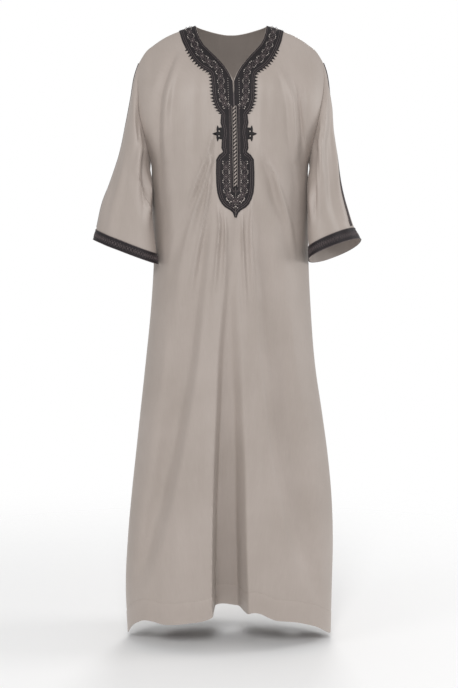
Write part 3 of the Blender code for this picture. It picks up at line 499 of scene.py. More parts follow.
FRONT_CREASES = (
    # Drape from the right shoulder past the armhole
    crease(
        (0.060, -0.112, 0.0090, 0.0180, 0.0000),
        (0.090, -0.126, 0.0090, 0.0180, 0.0054),
        (0.160, -0.148, 0.0090, 0.0200, 0.0080),
        (0.235, -0.155, 0.0090, 0.0220, 0.0072),
        (0.360, -0.152, 0.0105, 0.0240, 0.0044),
        (0.480, -0.148, 0.0105, 0.0240, 0.0000),
    ),
    # Drape from the left collar down to the hip
    crease(
        (0.070, 0.098, 0.0160, 0.0060, 0.0000),
        (0.150, 0.134, 0.0200, 0.0067, 0.0072),
        (0.284, 0.150, 0.0220, 0.0075, 0.0090),
        (0.340, 0.160, 0.0200, 0.0075, 0.0080),
        (0.420, 0.168, 0.0180, 0.0060, 0.0000),
    ),
    # Sunken line between that drape and the left armhole
    crease(
        (0.095, 0.126, 0.0080, 0.0075, 0.0000),
        (0.150, 0.147, 0.0090, 0.0090, -0.0048),
        (0.215, 0.156, 0.0100, 0.0090, -0.0060),
        (0.300, 0.168, 0.0100, 0.0090, -0.0054),
        (0.375, 0.176, 0.0080, 0.0075, 0.0000),
    ),
    # From the left star down to the left hip
    crease(
        (0.284, 0.056, 0.0070, 0.0067, 0.0000),
        (0.300, 0.070, 0.0100, 0.0075, 0.0054),
        (0.330, 0.091, 0.0160, 0.0083, 0.0090),
        (0.390, 0.114, 0.0200, 0.0090, 0.0100),
        (0.465, 0.136, 0.0220, 0.0090, 0.0072),
        (0.560, 0.152, 0.0200, 0.0090, 0.0000),
    ),
    # Gathers that spread from the lower placket to the right hip
    crease(
        (0.225, -0.034, 0.0045, 0.0070, 0.0000),
        (0.260, -0.043, 0.0060, 0.0080, 0.0047),
        (0.310, -0.060, 0.0075, 0.0090, 0.0065),
        (0.375, -0.084, 0.0090, 0.0110, 0.0065),
        (0.470, -0.116, 0.0105, 0.0140, 0.0000),
    ),
    crease(
        (0.285, -0.040, 0.0037, 0.0070, 0.0000),
        (0.320, -0.048, 0.0060, 0.0080, 0.0061),
        (0.365, -0.062, 0.0075, 0.0090, 0.0076),
        (0.465, -0.096, 0.0097, 0.0120, 0.0054),
        (0.560, -0.118, 0.0105, 0.0140, 0.0000),
    ),
    crease(
        (0.330, -0.045, 0.0030, 0.0060, 0.0000),
        (0.370, -0.050, 0.0045, 0.0080, 0.0065),
        (0.420, -0.058, 0.0067, 0.0080, 0.0079),
        (0.500, -0.074, 0.0090, 0.0100, 0.0065),
        (0.640, -0.098, 0.0105, 0.0120, 0.0000),
    ),
    # Small pleats below the tip of the placket
    crease(
        (0.405, -0.034, 0.0037, 0.0060, 0.0000),
        (0.440, -0.028, 0.0045, 0.0060, 0.0054),
        (0.520, -0.032, 0.0060, 0.0080, 0.0061),
        (0.640, -0.044, 0.0075, 0.0100, 0.0000),
    ),
    crease(
        (0.425, -0.016, 0.0040, 0.0050, 0.0000),
        (0.455, -0.013, 0.0050, 0.0050, 0.0047),
        (0.530, -0.014, 0.0060, 0.0070, 0.0043),
        (0.620, -0.018, 0.0070, 0.0080, 0.0000),
    ),
    crease(
        (0.428, 0.026, 0.0050, 0.0030, 0.0000),
        (0.460, 0.026, 0.0060, 0.0037, 0.0047),
        (0.560, 0.030, 0.0080, 0.0053, 0.0043),
        (0.690, 0.036, 0.0100, 0.0060, 0.0000),
    ),
    crease(
        (0.380, 0.052, 0.0060, 0.0037, 0.0000),
        (0.440, 0.046, 0.0080, 0.0045, 0.0061),
        (0.550, 0.050, 0.0120, 0.0053, 0.0065),
        (0.700, 0.062, 0.0140, 0.0067, 0.0000),
    ),
)
BACK_CREASES = (
    crease(
        (0.120, -0.150, 0.014, 0.018, 0.0000),
        (0.220, -0.132, 0.016, 0.020, 0.0064),
        (0.380, -0.110, 0.016, 0.022, 0.0048),
        (0.560, -0.098, 0.016, 0.022, 0.0000),
    ),
    crease(
        (0.100, 0.146, 0.018, 0.014, 0.0000),
        (0.210, 0.124, 0.020, 0.016, 0.0070),
        (0.360, 0.108, 0.020, 0.016, 0.0051),
        (0.520, 0.104, 0.020, 0.016, 0.0000),
    ),
    crease(
        (0.300, 0.030, 0.014, 0.012, 0.0000),
        (0.520, 0.044, 0.018, 0.012, 0.0064),
        (0.820, 0.052, 0.022, 0.014, 0.0096),
        (1.150, 0.060, 0.026, 0.016, 0.0096),
        (1.430, 0.066, 0.028, 0.018, 0.0080),
    ),
    crease(
        (0.480, -0.060, 0.014, 0.012, 0.0000),
        (0.700, -0.066, 0.018, 0.014, 0.0064),
        (1.000, -0.074, 0.022, 0.016, 0.0096),
        (1.430, -0.080, 0.026, 0.018, 0.0080),
    ),
    crease(
        (0.700, 0.140, 0.014, 0.018, 0.0000),
        (0.950, 0.156, 0.016, 0.022, 0.0080),
        (1.430, 0.172, 0.018, 0.026, 0.0096),
    ),
    crease(
        (0.640, -0.150, 0.018, 0.014, 0.0000),
        (0.920, -0.168, 0.022, 0.016, 0.0080),
        (1.430, -0.184, 0.026, 0.018, 0.0096),
    ),
)

# Faint unevenness of cloth that hangs free, stretched along the drop
WAVER_DEPTH = 0.0007
WAVER = ((0.061, 0.83, 1.0), (0.043, -0.61, 0.7), (0.027, 0.47, 0.45), (0.115, -1.10, 1.3))

# Hem: the turned-up cloth is one layer thicker, and a line of stitches holds it
HEM_SHARE = 0.9525
HEM_ROWS = (0.9440, 0.9475, 0.9500, 0.9525, 0.9550, 0.9580)
HEM_DIP, HEM_SWELL = 0.0006, 0.0005
# Shares of the drop: how wide the dip is, how soon the swell is full, and how far plain rows keep off
HEM_DIP_WIDE, HEM_SWELL_OVER, HEM_CLEAR = 0.0022, 0.004, 0.012


def waver(x, down, side):
    """Faint unevenness of the hanging cloth, as a sum of slanting waves."""
    total = np.zeros(np.broadcast(x, down).shape)
    for count, (wide, long, lean) in enumerate(WAVER):
        phase = 2 * np.pi * (x / wide + down / long) + count * 1.7 + side * 0.9
        total = total + WAVER_DEPTH * lean * np.sin(phase)
    return total


def seat_on(share):
    """Rise of the cloth across the hem: a dip at the stitches and the extra layer below them."""
    dip = HEM_DIP * np.exp(-(((share - HEM_SHARE) / HEM_DIP_WIDE) ** 2))
    return HEM_SWELL * ease((share - HEM_SHARE) / HEM_SWELL_OVER) - dip


def crease_height(creases, x, down):
    """Height of all the hand-placed creases at these places."""
    total = np.zeros(np.broadcast(x, down).shape)
    for ridge in creases:
        off = x - curve(ridge, "x", down)
        wide = np.where(off < 0, straight(ridge, "right", down), straight(ridge, "left", down))
        t = np.clip(np.abs(off) / wide, 0, 1)
        height = curve(ridge, "height", down)
        height = height * (down > ridge["down"][0]) * (down < ridge["down"][-1] + 0.001)
        total += height * (1 - t**2) ** 2
    return total


def curve(columns, name, at, along="down"):
    """Smooth curve through one column of a table, read at "at" and level beyond its ends."""
    stations, values = columns[along], columns[name]
    slopes = np.gradient(values, stations)
    at = np.clip(at, stations[0], stations[-1])
    low = np.clip(np.searchsorted(stations, at) - 1, 0, len(stations) - 2)
    span = stations[low + 1] - stations[low]
    t = (at - stations[low]) / span
    start, end = values[low], values[low + 1]
    leave, arrive = slopes[low] * span, slopes[low + 1] * span
    return (
        start
        + t * leave
        + t**2 * (3 * (end - start) - 2 * leave - arrive)
        + t**3 * (2 * (start - end) + leave + arrive)
    )


def straight(columns, name, at, along="down"):
    return np.interp(at, columns[along], columns[name])


def shoulder_down(x):
    return curve(SHOULDER, "down", np.abs(x), along="x")


def half_width(x, down):
    return np.where(x < 0, curve(BODY, "right", down), curve(BODY, "left", down))


def ease(t):
    t = np.clip(t, 0, 1)
    return t * t * (3 - 2 * t)


def fold_depth(folds, x, down):
    """How far all the folds press the cloth in at these places."""
    total = np.zeros(np.broadcast(x, down).shape)
    for turn, trough in folds:
        first, floor, second = (straight(trough, name, down) for name in ("first", "floor", "second"))
        from_crest = turn * (x - curve(trough, "start", down))
        depth = np.maximum(curve(trough, "depth", down), 0)
        inside = ease(from_crest / first) * ease((first + floor + second - from_crest) / second)
        total += depth * inside
    return total


def body_points(x, down, side):
    """Outer face of the body at x and down. Side is -1 on the front and +1 on the back."""
    share = np.clip(np.abs(x) / half_width(x, down), 0, 1)
    bulge = np.sqrt(1 - share**SIDE_ROUNDING)
    reach, power = (FRONT_ROUND, FRONT_ROUND_POWER) if side < 0 else (BACK_ROUND, BACK_ROUND_POWER)
    drop = np.clip((down - shoulder_down(x)) / reach, 0, 1)
    over = np.sin(drop * np.pi / 2) ** power
    side_y = curve(BODY, "side_y", down)
    depth = curve(BODY, "front" if side < 0 else "back", down)
    y = side_y + (side * depth - side_y) * bulge * over
    pressed = fold_depth(FRONT_FOLDS if side < 0 else BACK_FOLDS, x, down) * over
    raised = crease_height(FRONT_CREASES if side < 0 else BACK_CREASES, x, down) + waver(x, down, side)
    y -= side * (pressed - raised * over) * (1 - ease((share - FOLDS_FADE_FROM) / FOLDS_FADE_OVER))
    return np.stack([x, y, -down], axis=-1)


def plan_angle(x, down):
    """Angle on the rounded plan: nothing at the middle, a right angle at the side seam."""
    share = np.clip(np.abs(x) / half_width(x, down), 0, 1)
    return np.sign(x) * np.arcsin(share ** (SIDE_ROUNDING / 2))


def plan_x(angle, down):
    share = np.abs(np.sin(angle)) ** (2 / SIDE_ROUNDING)
    return np.sign(angle) * share * half_width(angle, down)


def run_length(line):
    """Length along a line up to each of its points."""
    return np.concatenate([[0], np.cumsum(np.linalg.norm(np.diff(line, axis=0), axis=1))])


def along_line(at, length, values):
    """Values of a line's points, read at these lengths along it."""
    return np.stack([np.interp(at, length, values[:, axis]) for axis in range(values.shape[1])], axis=-1)


def resampled(points, count):
    """Evenly spaced points along a dense line, its two ends included."""
    length = run_length(points)
    return along_line(np.linspace(0, length[-1], count), length, points)


def placket_x(down):
    return curve(PLACKET_LEAN, "x", down)


def armhole_edge(share, wing):
    """Place (x, down) on an armhole edge. Wing is -1 on the wearer's right and +1 on the left."""
    down = ARMHOLE["down"][0] + share * (ARMPIT_DOWN - ARMHOLE["down"][0])
    return wing * curve(ARMHOLE, "right" if wing < 0 else "left", down), down


def upper_row(start, end, share, side, columns):
    """Row of cloth between two places (x, down), which follows the shoulder seam less as it drops."""
    level = 1 - share
    t = np.linspace(0, 1, DENSE)
    rough_down = start[1] + t * (end[1] - start[1])
    first, last = plan_angle(*start), plan_angle(*end)
    angle = first + t * (last - first)
    x = plan_x(angle, rough_down)
    x += (start[0] - x[0]) * (1 - t) + (end[0] - x[-1]) * t
    below = [place[1] - level * shoulder_down(place[0]) for place in (start, end)]
    down = level * shoulder_down(x) + below[0] + t * (below[1] - below[0])
    return resampled(body_points(x, down, side), columns + 1)


def hem_down(x, side):
    if side < 0:
        return curve(HEM_FRONT, "down", x, along="x")
    share = np.abs(x) / half_width(x, SIDE_HEM_DOWN)
    return HEM_BACK_MIDDLE + (SIDE_HEM_DOWN - HEM_BACK_MIDDLE) * share**HEM_BACK_POWER


def lower_row(start_angle, end_angle, share, side, columns, middle_end=False):
    """Row below the armpit, at a share of the way to the hem."""
    angle = np.linspace(start_angle, end_angle, DENSE)
    hem = hem_down(plan_x(angle, SIDE_HEM_DOWN), side)
    down = ARMPIT_DOWN + share * (hem - ARMPIT_DOWN)
    x = plan_x(angle, down)
    if middle_end:
        t = np.linspace(0, 1, DENSE)
        x = x + (placket_x(down[-1]) - x[-1]) * t**2
    return resampled(body_points(x, down, side), columns + 1)


# Panels


def row_shares():
    return (np.arange(ROWS_ABOVE + 1) / ROWS_ABOVE) ** ROW_CROWDING


def lower_shares():
    """Rows from the armpit to the hem edge, with more of them at the hem's stitches."""
    plain = np.linspace(0, 1, ROWS_BELOW + 1)[1:]
    plain = plain[np.abs(plain - HEM_SHARE) > HEM_CLEAR]
    return np.sort(np.concatenate([plain, HEM_ROWS]))


def neck_place(share, wing):
    """Place (x, down) on the neckline and, further down, on the edge of the slit."""
    down = curve(NECK_EDGE, "down", share, along="share")
    out = max(float(curve(NECK_EDGE, "out", share, along="share")), SLIT_HALF * (share < 0.99))
    return placket_x(down) + wing * out, down


def front_half(wing):
    """Grid of half the front panel, from the armhole and side seam to the neckline and the middle."""
    rows = []
    for share in row_shares():
        neck = neck_place(share, wing)
        rows.append(upper_row(armhole_edge(share, wing), neck, share, -1, HALF_COLUMNS))
    for share in lower_shares():
        rows.append(lower_row(wing * np.pi / 2, 0, share, -1, HALF_COLUMNS, True))
    return np.array(rows)


def back_neck_down(x):
    """How far the neckline dips below the shoulder level at the back."""
    return BACK_NECK_DOWN * np.clip(1 - (x / NECK_HALF) ** 2, 0, 1) ** BACK_NECK_POWER


def back_grid():
    """Grid of the back panel from the wearer's right to left, from both shoulder seams to the hem."""
    rows = []
    for share in row_shares():
        right, left = armhole_edge(share, -1), armhole_edge(share, +1)
        level = 1 - share
        t = np.linspace(0, 1, 2 * DENSE)
        ends = [plan_angle(*place) for place in (right, left)]
        x = plan_x(ends[0] + t * (ends[1] - ends[0]), right[1])
        x += (right[0] - x[0]) * (1 - t) + (left[0] - x[-1]) * t
        seam = shoulder_down(x) + back_neck_down(x)
        below = [place[1] - level * shoulder_down(place[0]) for place in (right, left)]
        down = level * seam + below[0] + t * (below[1] - below[0])
        rows.append(resampled(body_points(x, down, +1), BACK_COLUMNS + 1))
    for share in lower_shares():
        rows.append(lower_row(-np.pi / 2, np.pi / 2, share, +1, BACK_COLUMNS))
    return np.array(rows)


def grid_faces(rows, columns, wrap=False):
    """Four-sided faces of a grid of points, counted along its rows. With wrap, each row is a ring."""
    across = np.arange(columns if wrap else columns - 1)
    row, column = np.meshgrid(np.arange(rows - 1), across, indexing="ij")
    after = (column + 1) % columns
    near, far = row * columns, (row + 1) * columns
    return np.stack([near + column, far + column, far + after, near + after], axis=-1).reshape(-1, 4)


def unit(vectors):
    return vectors / np.maximum(np.linalg.norm(vectors, axis=-1, keepdims=True), 1e-12)


def point_normals(points, faces):
    normals = np.zeros_like(points)
    corners = points[faces]
    across = np.cross(corners[:, 2] - corners[:, 0], corners[:, 3] - corners[:, 1])
    for corner in range(4):
        np.add.at(normals, faces[:, corner], across)
    return unit(normals)


def outward(faces, points, away):
    """Faces turned so that they look along "away" on the whole."""
    corners = points[faces]
    across = np.cross(corners[:, 2] - corners[:, 0], corners[:, 3] - corners[:, 1])
    return faces[:, ::-1] if (across @ np.array(away, float)).sum() < 0 else faces


def flat_map(grid, middle):
    """Cloth coordinates of a grid in metres: across from its middle column, and down the columns."""
    across = np.linalg.norm(np.diff(grid, axis=1), axis=2)
    across = np.concatenate([np.zeros((len(grid), 1)), np.cumsum(across, axis=1)], axis=1)
    across -= across[:, middle : middle + 1]
    down = np.linalg.norm(np.diff(grid, axis=0), axis=2)
    down = np.concatenate([np.zeros((1, grid.shape[1])), np.cumsum(down, axis=0)], axis=0)
    return np.stack([across, -down], axis=-1)


def add_piece(name, points, faces, finish, cloth_map=None, sharp=SHARP_DEGREES):
    mesh = bpy.data.meshes.new(name)
    mesh.from_pydata(points.tolist(), [], [list(map(int, face)) for face in faces])
    mesh.shade_smooth()
    mesh.set_sharp_from_angle(angle=math.radians(sharp))
    mesh.materials.append(finish)
    if cloth_map is not None:
        layer = mesh.uv_layers.new(name="cloth")
        corner_points = np.empty(len(mesh.loops), np.int32)
        mesh.loops.foreach_get("vertex_index", corner_points)
        layer.data.foreach_set("uv", cloth_map[corner_points].astype(np.float32).ravel())
    made = bpy.data.objects.new(name, mesh)
    bpy.context.scene.collection.objects.link(made)
    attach(made, "root")
    return made


def wall(points, faces, normals, thickness):
    """Points and faces of a closed wall: the outer face, the inner one, and the rim between."""
    count = len(points)
    inner = points - thickness * normals
    ends = np.concatenate([np.stack([faces[:, a], faces[:, (a + 1) % 4]], axis=1) for a in range(4)])
    keys = ends[:, 0] * (count + 1) + ends[:, 1]
    back_keys = ends[:, 1] * (count + 1) + ends[:, 0]
    free = ends[~np.isin(keys, back_keys)]
    rim = np.stack([free[:, 1], free[:, 0], free[:, 0] + count, free[:, 1] + count], axis=1)
    return np.vstack([points, inner]), np.vstack([faces, faces[:, ::-1] + count, rim])


def dipped(grid, normals, edge, inner):
    """Draws a seam edge back by half the gap and a little inwards, where the two pieces are sewn."""
    grid[edge] = grid[edge] + unit(grid[inner] - grid[edge]) * SEAM_GAP / 2 - normals[edge] * SEAM_DIP


def seam_normal_on_shoulder(x):
    step = 0.002
    slope = (shoulder_down(x + step) - shoulder_down(x - step)) / (2 * step)
    return unit(np.stack([slope, np.zeros_like(x), np.ones_like(x)], axis=-1))


# Sleeves


def sleeve_ring(rows, share, angles):
    """Ideal ring of a sleeve: angle nothing on the outer line, a quarter turn at the front."""
    value = {name: curve(rows, name, share, along="share") for name in rows}
    outer = np.array([value["out_x"], value["out_y"], -value["out_down"]])
    inner = np.array([value["in_x"], value["in_y"], -value["in_down"]])
    along = np.cos(angles)
    along = np.sign(along) * np.abs(along) ** (2 / SLEEVE_ROUNDING)
    across = np.sin(angles)
    across = np.sign(across) * np.abs(across) ** (2 / SLEEVE_ROUNDING)
    points = (outer + inner) / 2 + np.outer(along, (outer - inner) / 2)
    points[:, 1] -= np.where(across > 0, value["front"], value["back"]) * across
    points[:, 2] += value["lift"] * np.clip(across, 0, 1) - value["sink"] * np.clip(-across, 0, 1)
    return points


def ring_angles(ring):
    """Angles of the armhole's points by their share of the way round, front and back apart."""
    steps = np.linalg.norm(np.roll(ring, -1, axis=0) - ring, axis=1)
    front = np.concatenate([[0], np.cumsum(steps[:ROWS_ABOVE])])
    back = np.concatenate([[0], np.cumsum(steps[ROWS_ABOVE:])])
    return np.concatenate([front[:-1] / front[-1] * np.pi, np.pi + back[:-1] / back[-1] * np.pi])


def sleeve_shares():
    """Rings of a sleeve, closer together at the armhole and at the cuff."""
    t = np.linspace(0, 1, SLEEVE_ROWS)
    return t - SLEEVE_CROWDING * np.sin(2 * np.pi * t) / np.pi


def sleeve_grid(armhole, rows, folds, creases, wing):
    """Rings from the armhole to the cuff. The first ring is the armhole itself."""
    mirror = np.array([wing, 1, 1])
    hole = armhole * mirror
    angles = ring_angles(hole)
    around = angles / (2 * np.pi)
    offset = hole - sleeve_ring(rows, 0, angles)
    shares = sleeve_shares()
    fade = (1 - shares) ** ARMHOLE_FADE_POWER
    rings = [sleeve_ring(rows, share, angles) + offset * left for share, left in zip(shares, fade)]
    grid = np.array(rings)
    flat = grid.reshape(-1, 3)
    faces = outward(grid_faces(len(grid), len(hole), wrap=True), flat, (1, 0, 0.3))
    normals = point_normals(flat, faces).reshape(grid.shape)
    for row, share in enumerate(shares):
        rise = np.zeros(len(around))
        for trough in folds:
            centre = straight(trough, "around", share, along="share")
            half = straight(trough, "half", share, along="share")
            depth = max(curve(trough, "depth", share, along="share"), 0)
            depth *= min(share / SLEEVE_FOLDS_FROM, 1) * (share >= trough["share"][0])
            rise -= depth * ease(1 - np.abs(around - centre) / half)
        for ridge in creases:
            if ridge["share"][0] <= share <= ridge["share"][-1]:
                centre = straight(ridge, "around", share, along="share")
                half = straight(ridge, "half", share, along="share")
                t = np.clip(np.abs(around - centre) / half, 0, 1)
                rise += curve(ridge, "height", share, along="share") * (1 - t**2) ** 2
        grid[row] += rise[:, None] * normals[row]
    return grid * mirror


def armhole_ring(front, back):
    """Shoulder point, down the front edge, armpit, and up the back edge."""
    return np.vstack([front[: ROWS_ABOVE + 1], back[ROWS_ABOVE - 1 : 0 : -1]])


# Lines on the cloth


def on_cloth(out, down, side=-1, lift=0.0):
    """Points and normals of the body's outer face at these places, raised by the lift."""
    step = 0.0008
    here = body_points(out, down, side)
    over = body_points(out + step, down, side) - here
    below = body_points(out, down + step, side) - here
    normals = unit(np.cross(below, over) if side < 0 else np.cross(over, below))
    return here + normals * lift, normals


def on_band(line, wing):
    """Places (x, down) of a line drawn as (out, down) beside the placket's leaning middle."""
    return placket_x(line[:, 1]) + wing * line[:, 0], line[:, 1]


def even(line, spacing, closed=False):
    """The same line with evenly spaced points."""
    line = np.vstack([line, line[:1]]) if closed else line
    length = run_length(line)
    count = max(int(round(length[-1] / spacing)), 2)
    made = along_line(np.linspace(0, length[-1], count + 1), length, line)
    return made[:-1] if closed else made


# A moved line is kept where it lies at this share of its distance, in runs without wider gaps
KEPT_SHARE, RUN_GAP, RUN_LEAST = 0.985, 0.012, 6


def parallel(line, distance, turn, limit):
    """The line moved sideways, in the stretches where it keeps its distance and stays in the limit."""
    ahead = np.gradient(line, axis=0)
    sideways = unit(np.stack([-ahead[:, 1], ahead[:, 0]], axis=1)) * turn
    moved = line + sideways * distance
    nearest = np.linalg.norm(moved[:, None] - line[None], axis=2).min(axis=1)
    good = (nearest > distance * KEPT_SHARE) & limit(moved)
    runs, run = [], []
    for place, keep in zip(moved, good):
        if keep and (not run or np.linalg.norm(place - run[-1]) < RUN_GAP):
            run.append(place)
            continue
        if len(run) > RUN_LEAST:
            runs.append(np.array(run))
        run = [place] if keep else []
    if len(run) > RUN_LEAST:
        runs.append(np.array(run))
    return runs


class Stitchwork:
    """Many small raised pieces gathered into one mesh."""

    def __init__(self):
        self.points, self.faces, self.count = [], [], 0

    def add(self, points, faces):
        self.points.append(points)
        self.faces += [[self.count + corner for corner in face] for face in faces]
        self.count += len(points)

    def cord(self, points, normals, wide, high, sides=6, closed=False):
        """Round cord along a line that lies on cloth, wide across and high above it."""
        if closed:
            ahead = np.roll(points, -1, axis=0) - np.roll(points, 1, axis=0)
        else:
            ahead = np.gradient(points, axis=0)
        across = unit(np.cross(ahead, normals))
        turn = np.arange(sides) * 2 * np.pi / sides
        wide = np.broadcast_to(wide, len(points))[:, None, None]
        rings = points[:, None] + across[:, None] * np.cos(turn)[None, :, None] * wide
        rings = rings + normals[:, None] * (np.sin(turn) * high)[None, :, None]
        count = len(points)
        faces = []
        for ring in range(count if closed else count - 1):
            near, far = ring * sides, (ring + 1) % count * sides
            for corner in range(sides):
                after = (corner + 1) % sides
                faces.append([near + corner, near + after, far + after, far + corner])
        if not closed:
            faces.append(list(range(sides))[::-1])
            faces.append([(count - 1) * sides + corner for corner in range(sides)])
        self.add(rings.reshape(-1, 3), faces)

    def knot(self, point, normal, along, long, wide, high):
        """Rounded knot or short stitch on the cloth, long along one direction."""
        along = unit(along - normal * np.dot(along, normal))
        across = np.cross(normal, along)
        rings, sides, tip = 4, 7, 0.05
        points, faces = [], []
        for ring in range(rings + 1):
            tilt = np.pi * ring / rings
            reach, rise = max(np.sin(tilt), tip), np.cos(tilt)
            for corner in range(sides):
                turn = 2 * np.pi * corner / sides
                place = along * np.cos(turn) * reach * long + across * np.sin(turn) * reach * wide
                points.append(point + place + normal * rise * high)
        for ring in range(rings):
            for corner in range(sides):
                after = (corner + 1) % sides
                near, far = ring * sides, (ring + 1) * sides
                faces.append([near + corner, far + corner, far + after, near + after])
        faces.append(list(range(sides)))
        faces.append([rings * sides + corner for corner in range(sides)][::-1])
        self.add(np.array(points), faces)

    def piece(self, name, finish):
        return add_piece(name, np.vstack(self.points), self.faces, finish, sharp=STITCH_SHARP_DEGREES)


# Design of the front band, in metres beside the placket's middle line

PLATE_TOP = PLATE + PLATE_LIFT
EDGE_SPACING = 0.0015
PLATE_POINTS_ABOVE, PLATE_POINTS_BELOW, TOOTH_POINTS = 70, 210, 8
TOOTH_SHARPNESS, TOOTH_BASE = 1.6, 0.4
BORDER_CORDS = (0.0048, 0.0088)
BORDER_WIDE, BORDER_HIGH = 0.00065, 0.0008
MIDDLE_CLEAR = 0.0004
# The inner cord runs round the neck, and a pair of lines beside the braid
INNER_CORD, COLLAR_END = 0.0028, 0.126
INNER_OUT, INNER_PITCH, INNER_TOP = 0.0090, 0.0024, 0.186
# Chain of florets: how far it lies in the band, how far it keeps off the pair of lines, where it may
# come to the middle, and where it ends
CHAIN_IN, CHAIN_CLEAR, CHAIN_JOINS, CHAIN_ENDS = 0.0225, 0.008, 0.386, 0.412
FLORET_PITCH, FLORET_REACH, LOBE_DEPTH = 0.0205, 0.0056, 0.16
FLORET_WIDE, FLORET_HIGH, FLORET_SPACING = 0.0009, 0.0008, 0.0016
PETAL_OUT, PETAL_WIDE, PETAL_LONG = 0.0024, 0.0014, 0.0023
# Threads crossed between two florets: along the chain and away from its middle
CROSS = ((-0.0050, -0.0052), (-0.0012, -0.0010), (0.0012, 0.0010), (0.0050, 0.0052))
THIN_WIDE, THIN_HIGH, THIN_SPACING = 0.0006, 0.0007, 0.0020
# Light knots: in the heart of a floret, round it, and in pairs beside the crossed threads
HEART_KNOT, ROUND_KNOT, PAIR_KNOT = 0.0012, 0.0009, 0.0014
ROUND_OUT, PAIR_OUT, PAIR_SLIP = 0.0076, 0.0072, 0.0021
# Rows of light specks beside the braid: how far out, from where and to where down it
SPECK_ROWS = ((0.0125, 0.128, 0.200), (0.0125, 0.300, 0.385))
SPECK_PITCH, SPECK = 0.0052, 0.0009
# Band round the back of the neck: its rim, its cords by their share of its width, and its florets
BACK_RIM = 0.0006
BACK_CORDS = (0.08, 0.74, 0.81, 0.88)
BACK_CHAIN = 0.42
BACK_KNOTS = ((-0.002, -0.0072), (0.002, -0.0072), (-0.002, 0.0072), (0.002, 0.0072))
BACK_KNOT = (0.0011, 0.0011, 0.0009)


def outer_line():
    return even(np.stack([BAND["outer_out"], BAND["outer_down"]], axis=1), EDGE_SPACING)


def inner_line():
    return even(np.stack([BAND["inner_out"], BAND["inner_down"]], axis=1), EDGE_SPACING)


def plate_grid():
    """Grid of the embroidered plate across the band, with its teeth drawn as small points."""
    length = run_length(np.stack([BAND["outer_out"], BAND["outer_down"]], axis=1))
    teeth_start, teeth_end = length[TEETH_FROM], length[TEETH_TO]
    teeth = round((teeth_end - teeth_start) / TOOTH_PITCH)
    at = np.unique(np.concatenate([
        np.linspace(0, teeth_start, PLATE_POINTS_ABOVE),
        np.linspace(teeth_start, teeth_end, teeth * TOOTH_POINTS + 1),
        np.linspace(teeth_end, length[-1], PLATE_POINTS_BELOW),
    ]))
    phase = (at - teeth_start) / (teeth_end - teeth_start) * teeth
    point = 1 - np.abs(2 * (phase - np.floor(phase)) - 1)
    reach = TOOTH_DEPTH * (point**TOOTH_SHARPNESS - TOOTH_BASE)
    tooth = np.where((at > teeth_start) & (at < teeth_end), reach, 0)
    stations = {name: np.interp(at, length, BAND[name]) for name in BAND}
    inner = np.stack([stations["inner_out"], stations["inner_down"]], axis=1)
    edge = np.stack([stations["outer_out"], stations["outer_down"]], axis=1)
    edge += tooth[:, None] * unit(edge - inner)
    across = np.linspace(0, 1, BAND_ACROSS + 1)[None, :, None]
    return inner[:, None] * (1 - across) + edge[:, None] * across


def add_plate(name, grid, normals, away, finish, wrap=False, cloth_map=None):
    """Thin closed plate of dense stitches that lies on the cloth."""
    points = (grid + normals * PLATE_TOP).reshape(-1, 3)
    faces = outward(grid_faces(grid.shape[0], grid.shape[1], wrap), points, away)
    made_points, made_faces = wall(points, faces, normals.reshape(-1, 3), PLATE)
    return add_piece(name, made_points, made_faces, finish, np.vstack([cloth_map.reshape(-1, 2)] * 2))


def front_plate(wing, word):
    places = plate_grid()
    x = placket_x(places[..., 1]) + wing * places[..., 0]
    points, normals = on_cloth(x, places[..., 1])
    rows = run_length(places[:, -1])
    across = np.linalg.norm(places - places[:, :1], axis=2)
    flat = np.stack([across, np.broadcast_to(rows[:, None], across.shape)], axis=-1)
    made = add_plate(f"neck_plate_{word}", points, normals, (0, -1, 0.2), embroidery, cloth_map=flat)
    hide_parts(f"neck_band_{word}")


def lay(work, line, wing, wide, high, closed=False, spacing=0.0025):
    """Cord laid on the front plate along a line of (out, down)."""
    x, down = on_band(even(line, spacing, closed), wing)
    points, normals = on_cloth(x, down, lift=PLATE_TOP)
    work.cord(points, normals, wide, high, closed=closed)


def dot(work, place, wing, size, long=None, heading=(0.0, 1.0)):
    x, down = on_band(np.array([place]), wing)
    points, normals = on_cloth(x, down, lift=PLATE_TOP)
    along = np.array([wing * heading[0], 0.0, -heading[1]])
    work.knot(points[0], normals[0], along, long or size, size, size * 0.8)


def ring_reach(turn):
    """Reach of a floret's ring, which has four lobes."""
    return FLORET_REACH * (1 - LOBE_DEPTH + LOBE_DEPTH * np.cos(4 * turn))


def floret(work, centre, ahead, wing):
    """Four-lobed ring with four petals in it."""
    side = np.array([-ahead[1], ahead[0]])
    turn = np.linspace(0, 2 * np.pi, 25)[:-1]
    reach = ring_reach(turn)
    ring = centre + np.outer(np.cos(turn) * reach, ahead) + np.outer(np.sin(turn) * reach, side)
    lay(work, ring, wing, FLORET_WIDE, FLORET_HIGH, closed=True, spacing=FLORET_SPACING)
    for quarter in range(4):
        lean = quarter * np.pi / 2
        axis = ahead * np.cos(lean) + side * np.sin(lean)
        dot(work, centre + axis * PETAL_OUT, wing, PETAL_WIDE, PETAL_LONG, axis)


def in_field(places):
    """Where the chain of florets may run: clear of the braid's lines, and above the plate's tip."""
    clear = (places[:, 0] > INNER_OUT + CHAIN_CLEAR) | (places[:, 1] > CHAIN_JOINS)
    return clear & (places[:, 1] < CHAIN_ENDS)


def off_middle(places):
    return places[:, 0] > MIDDLE_CLEAR


def round_neck(places):
    return places[:, 1] < COLLAR_END


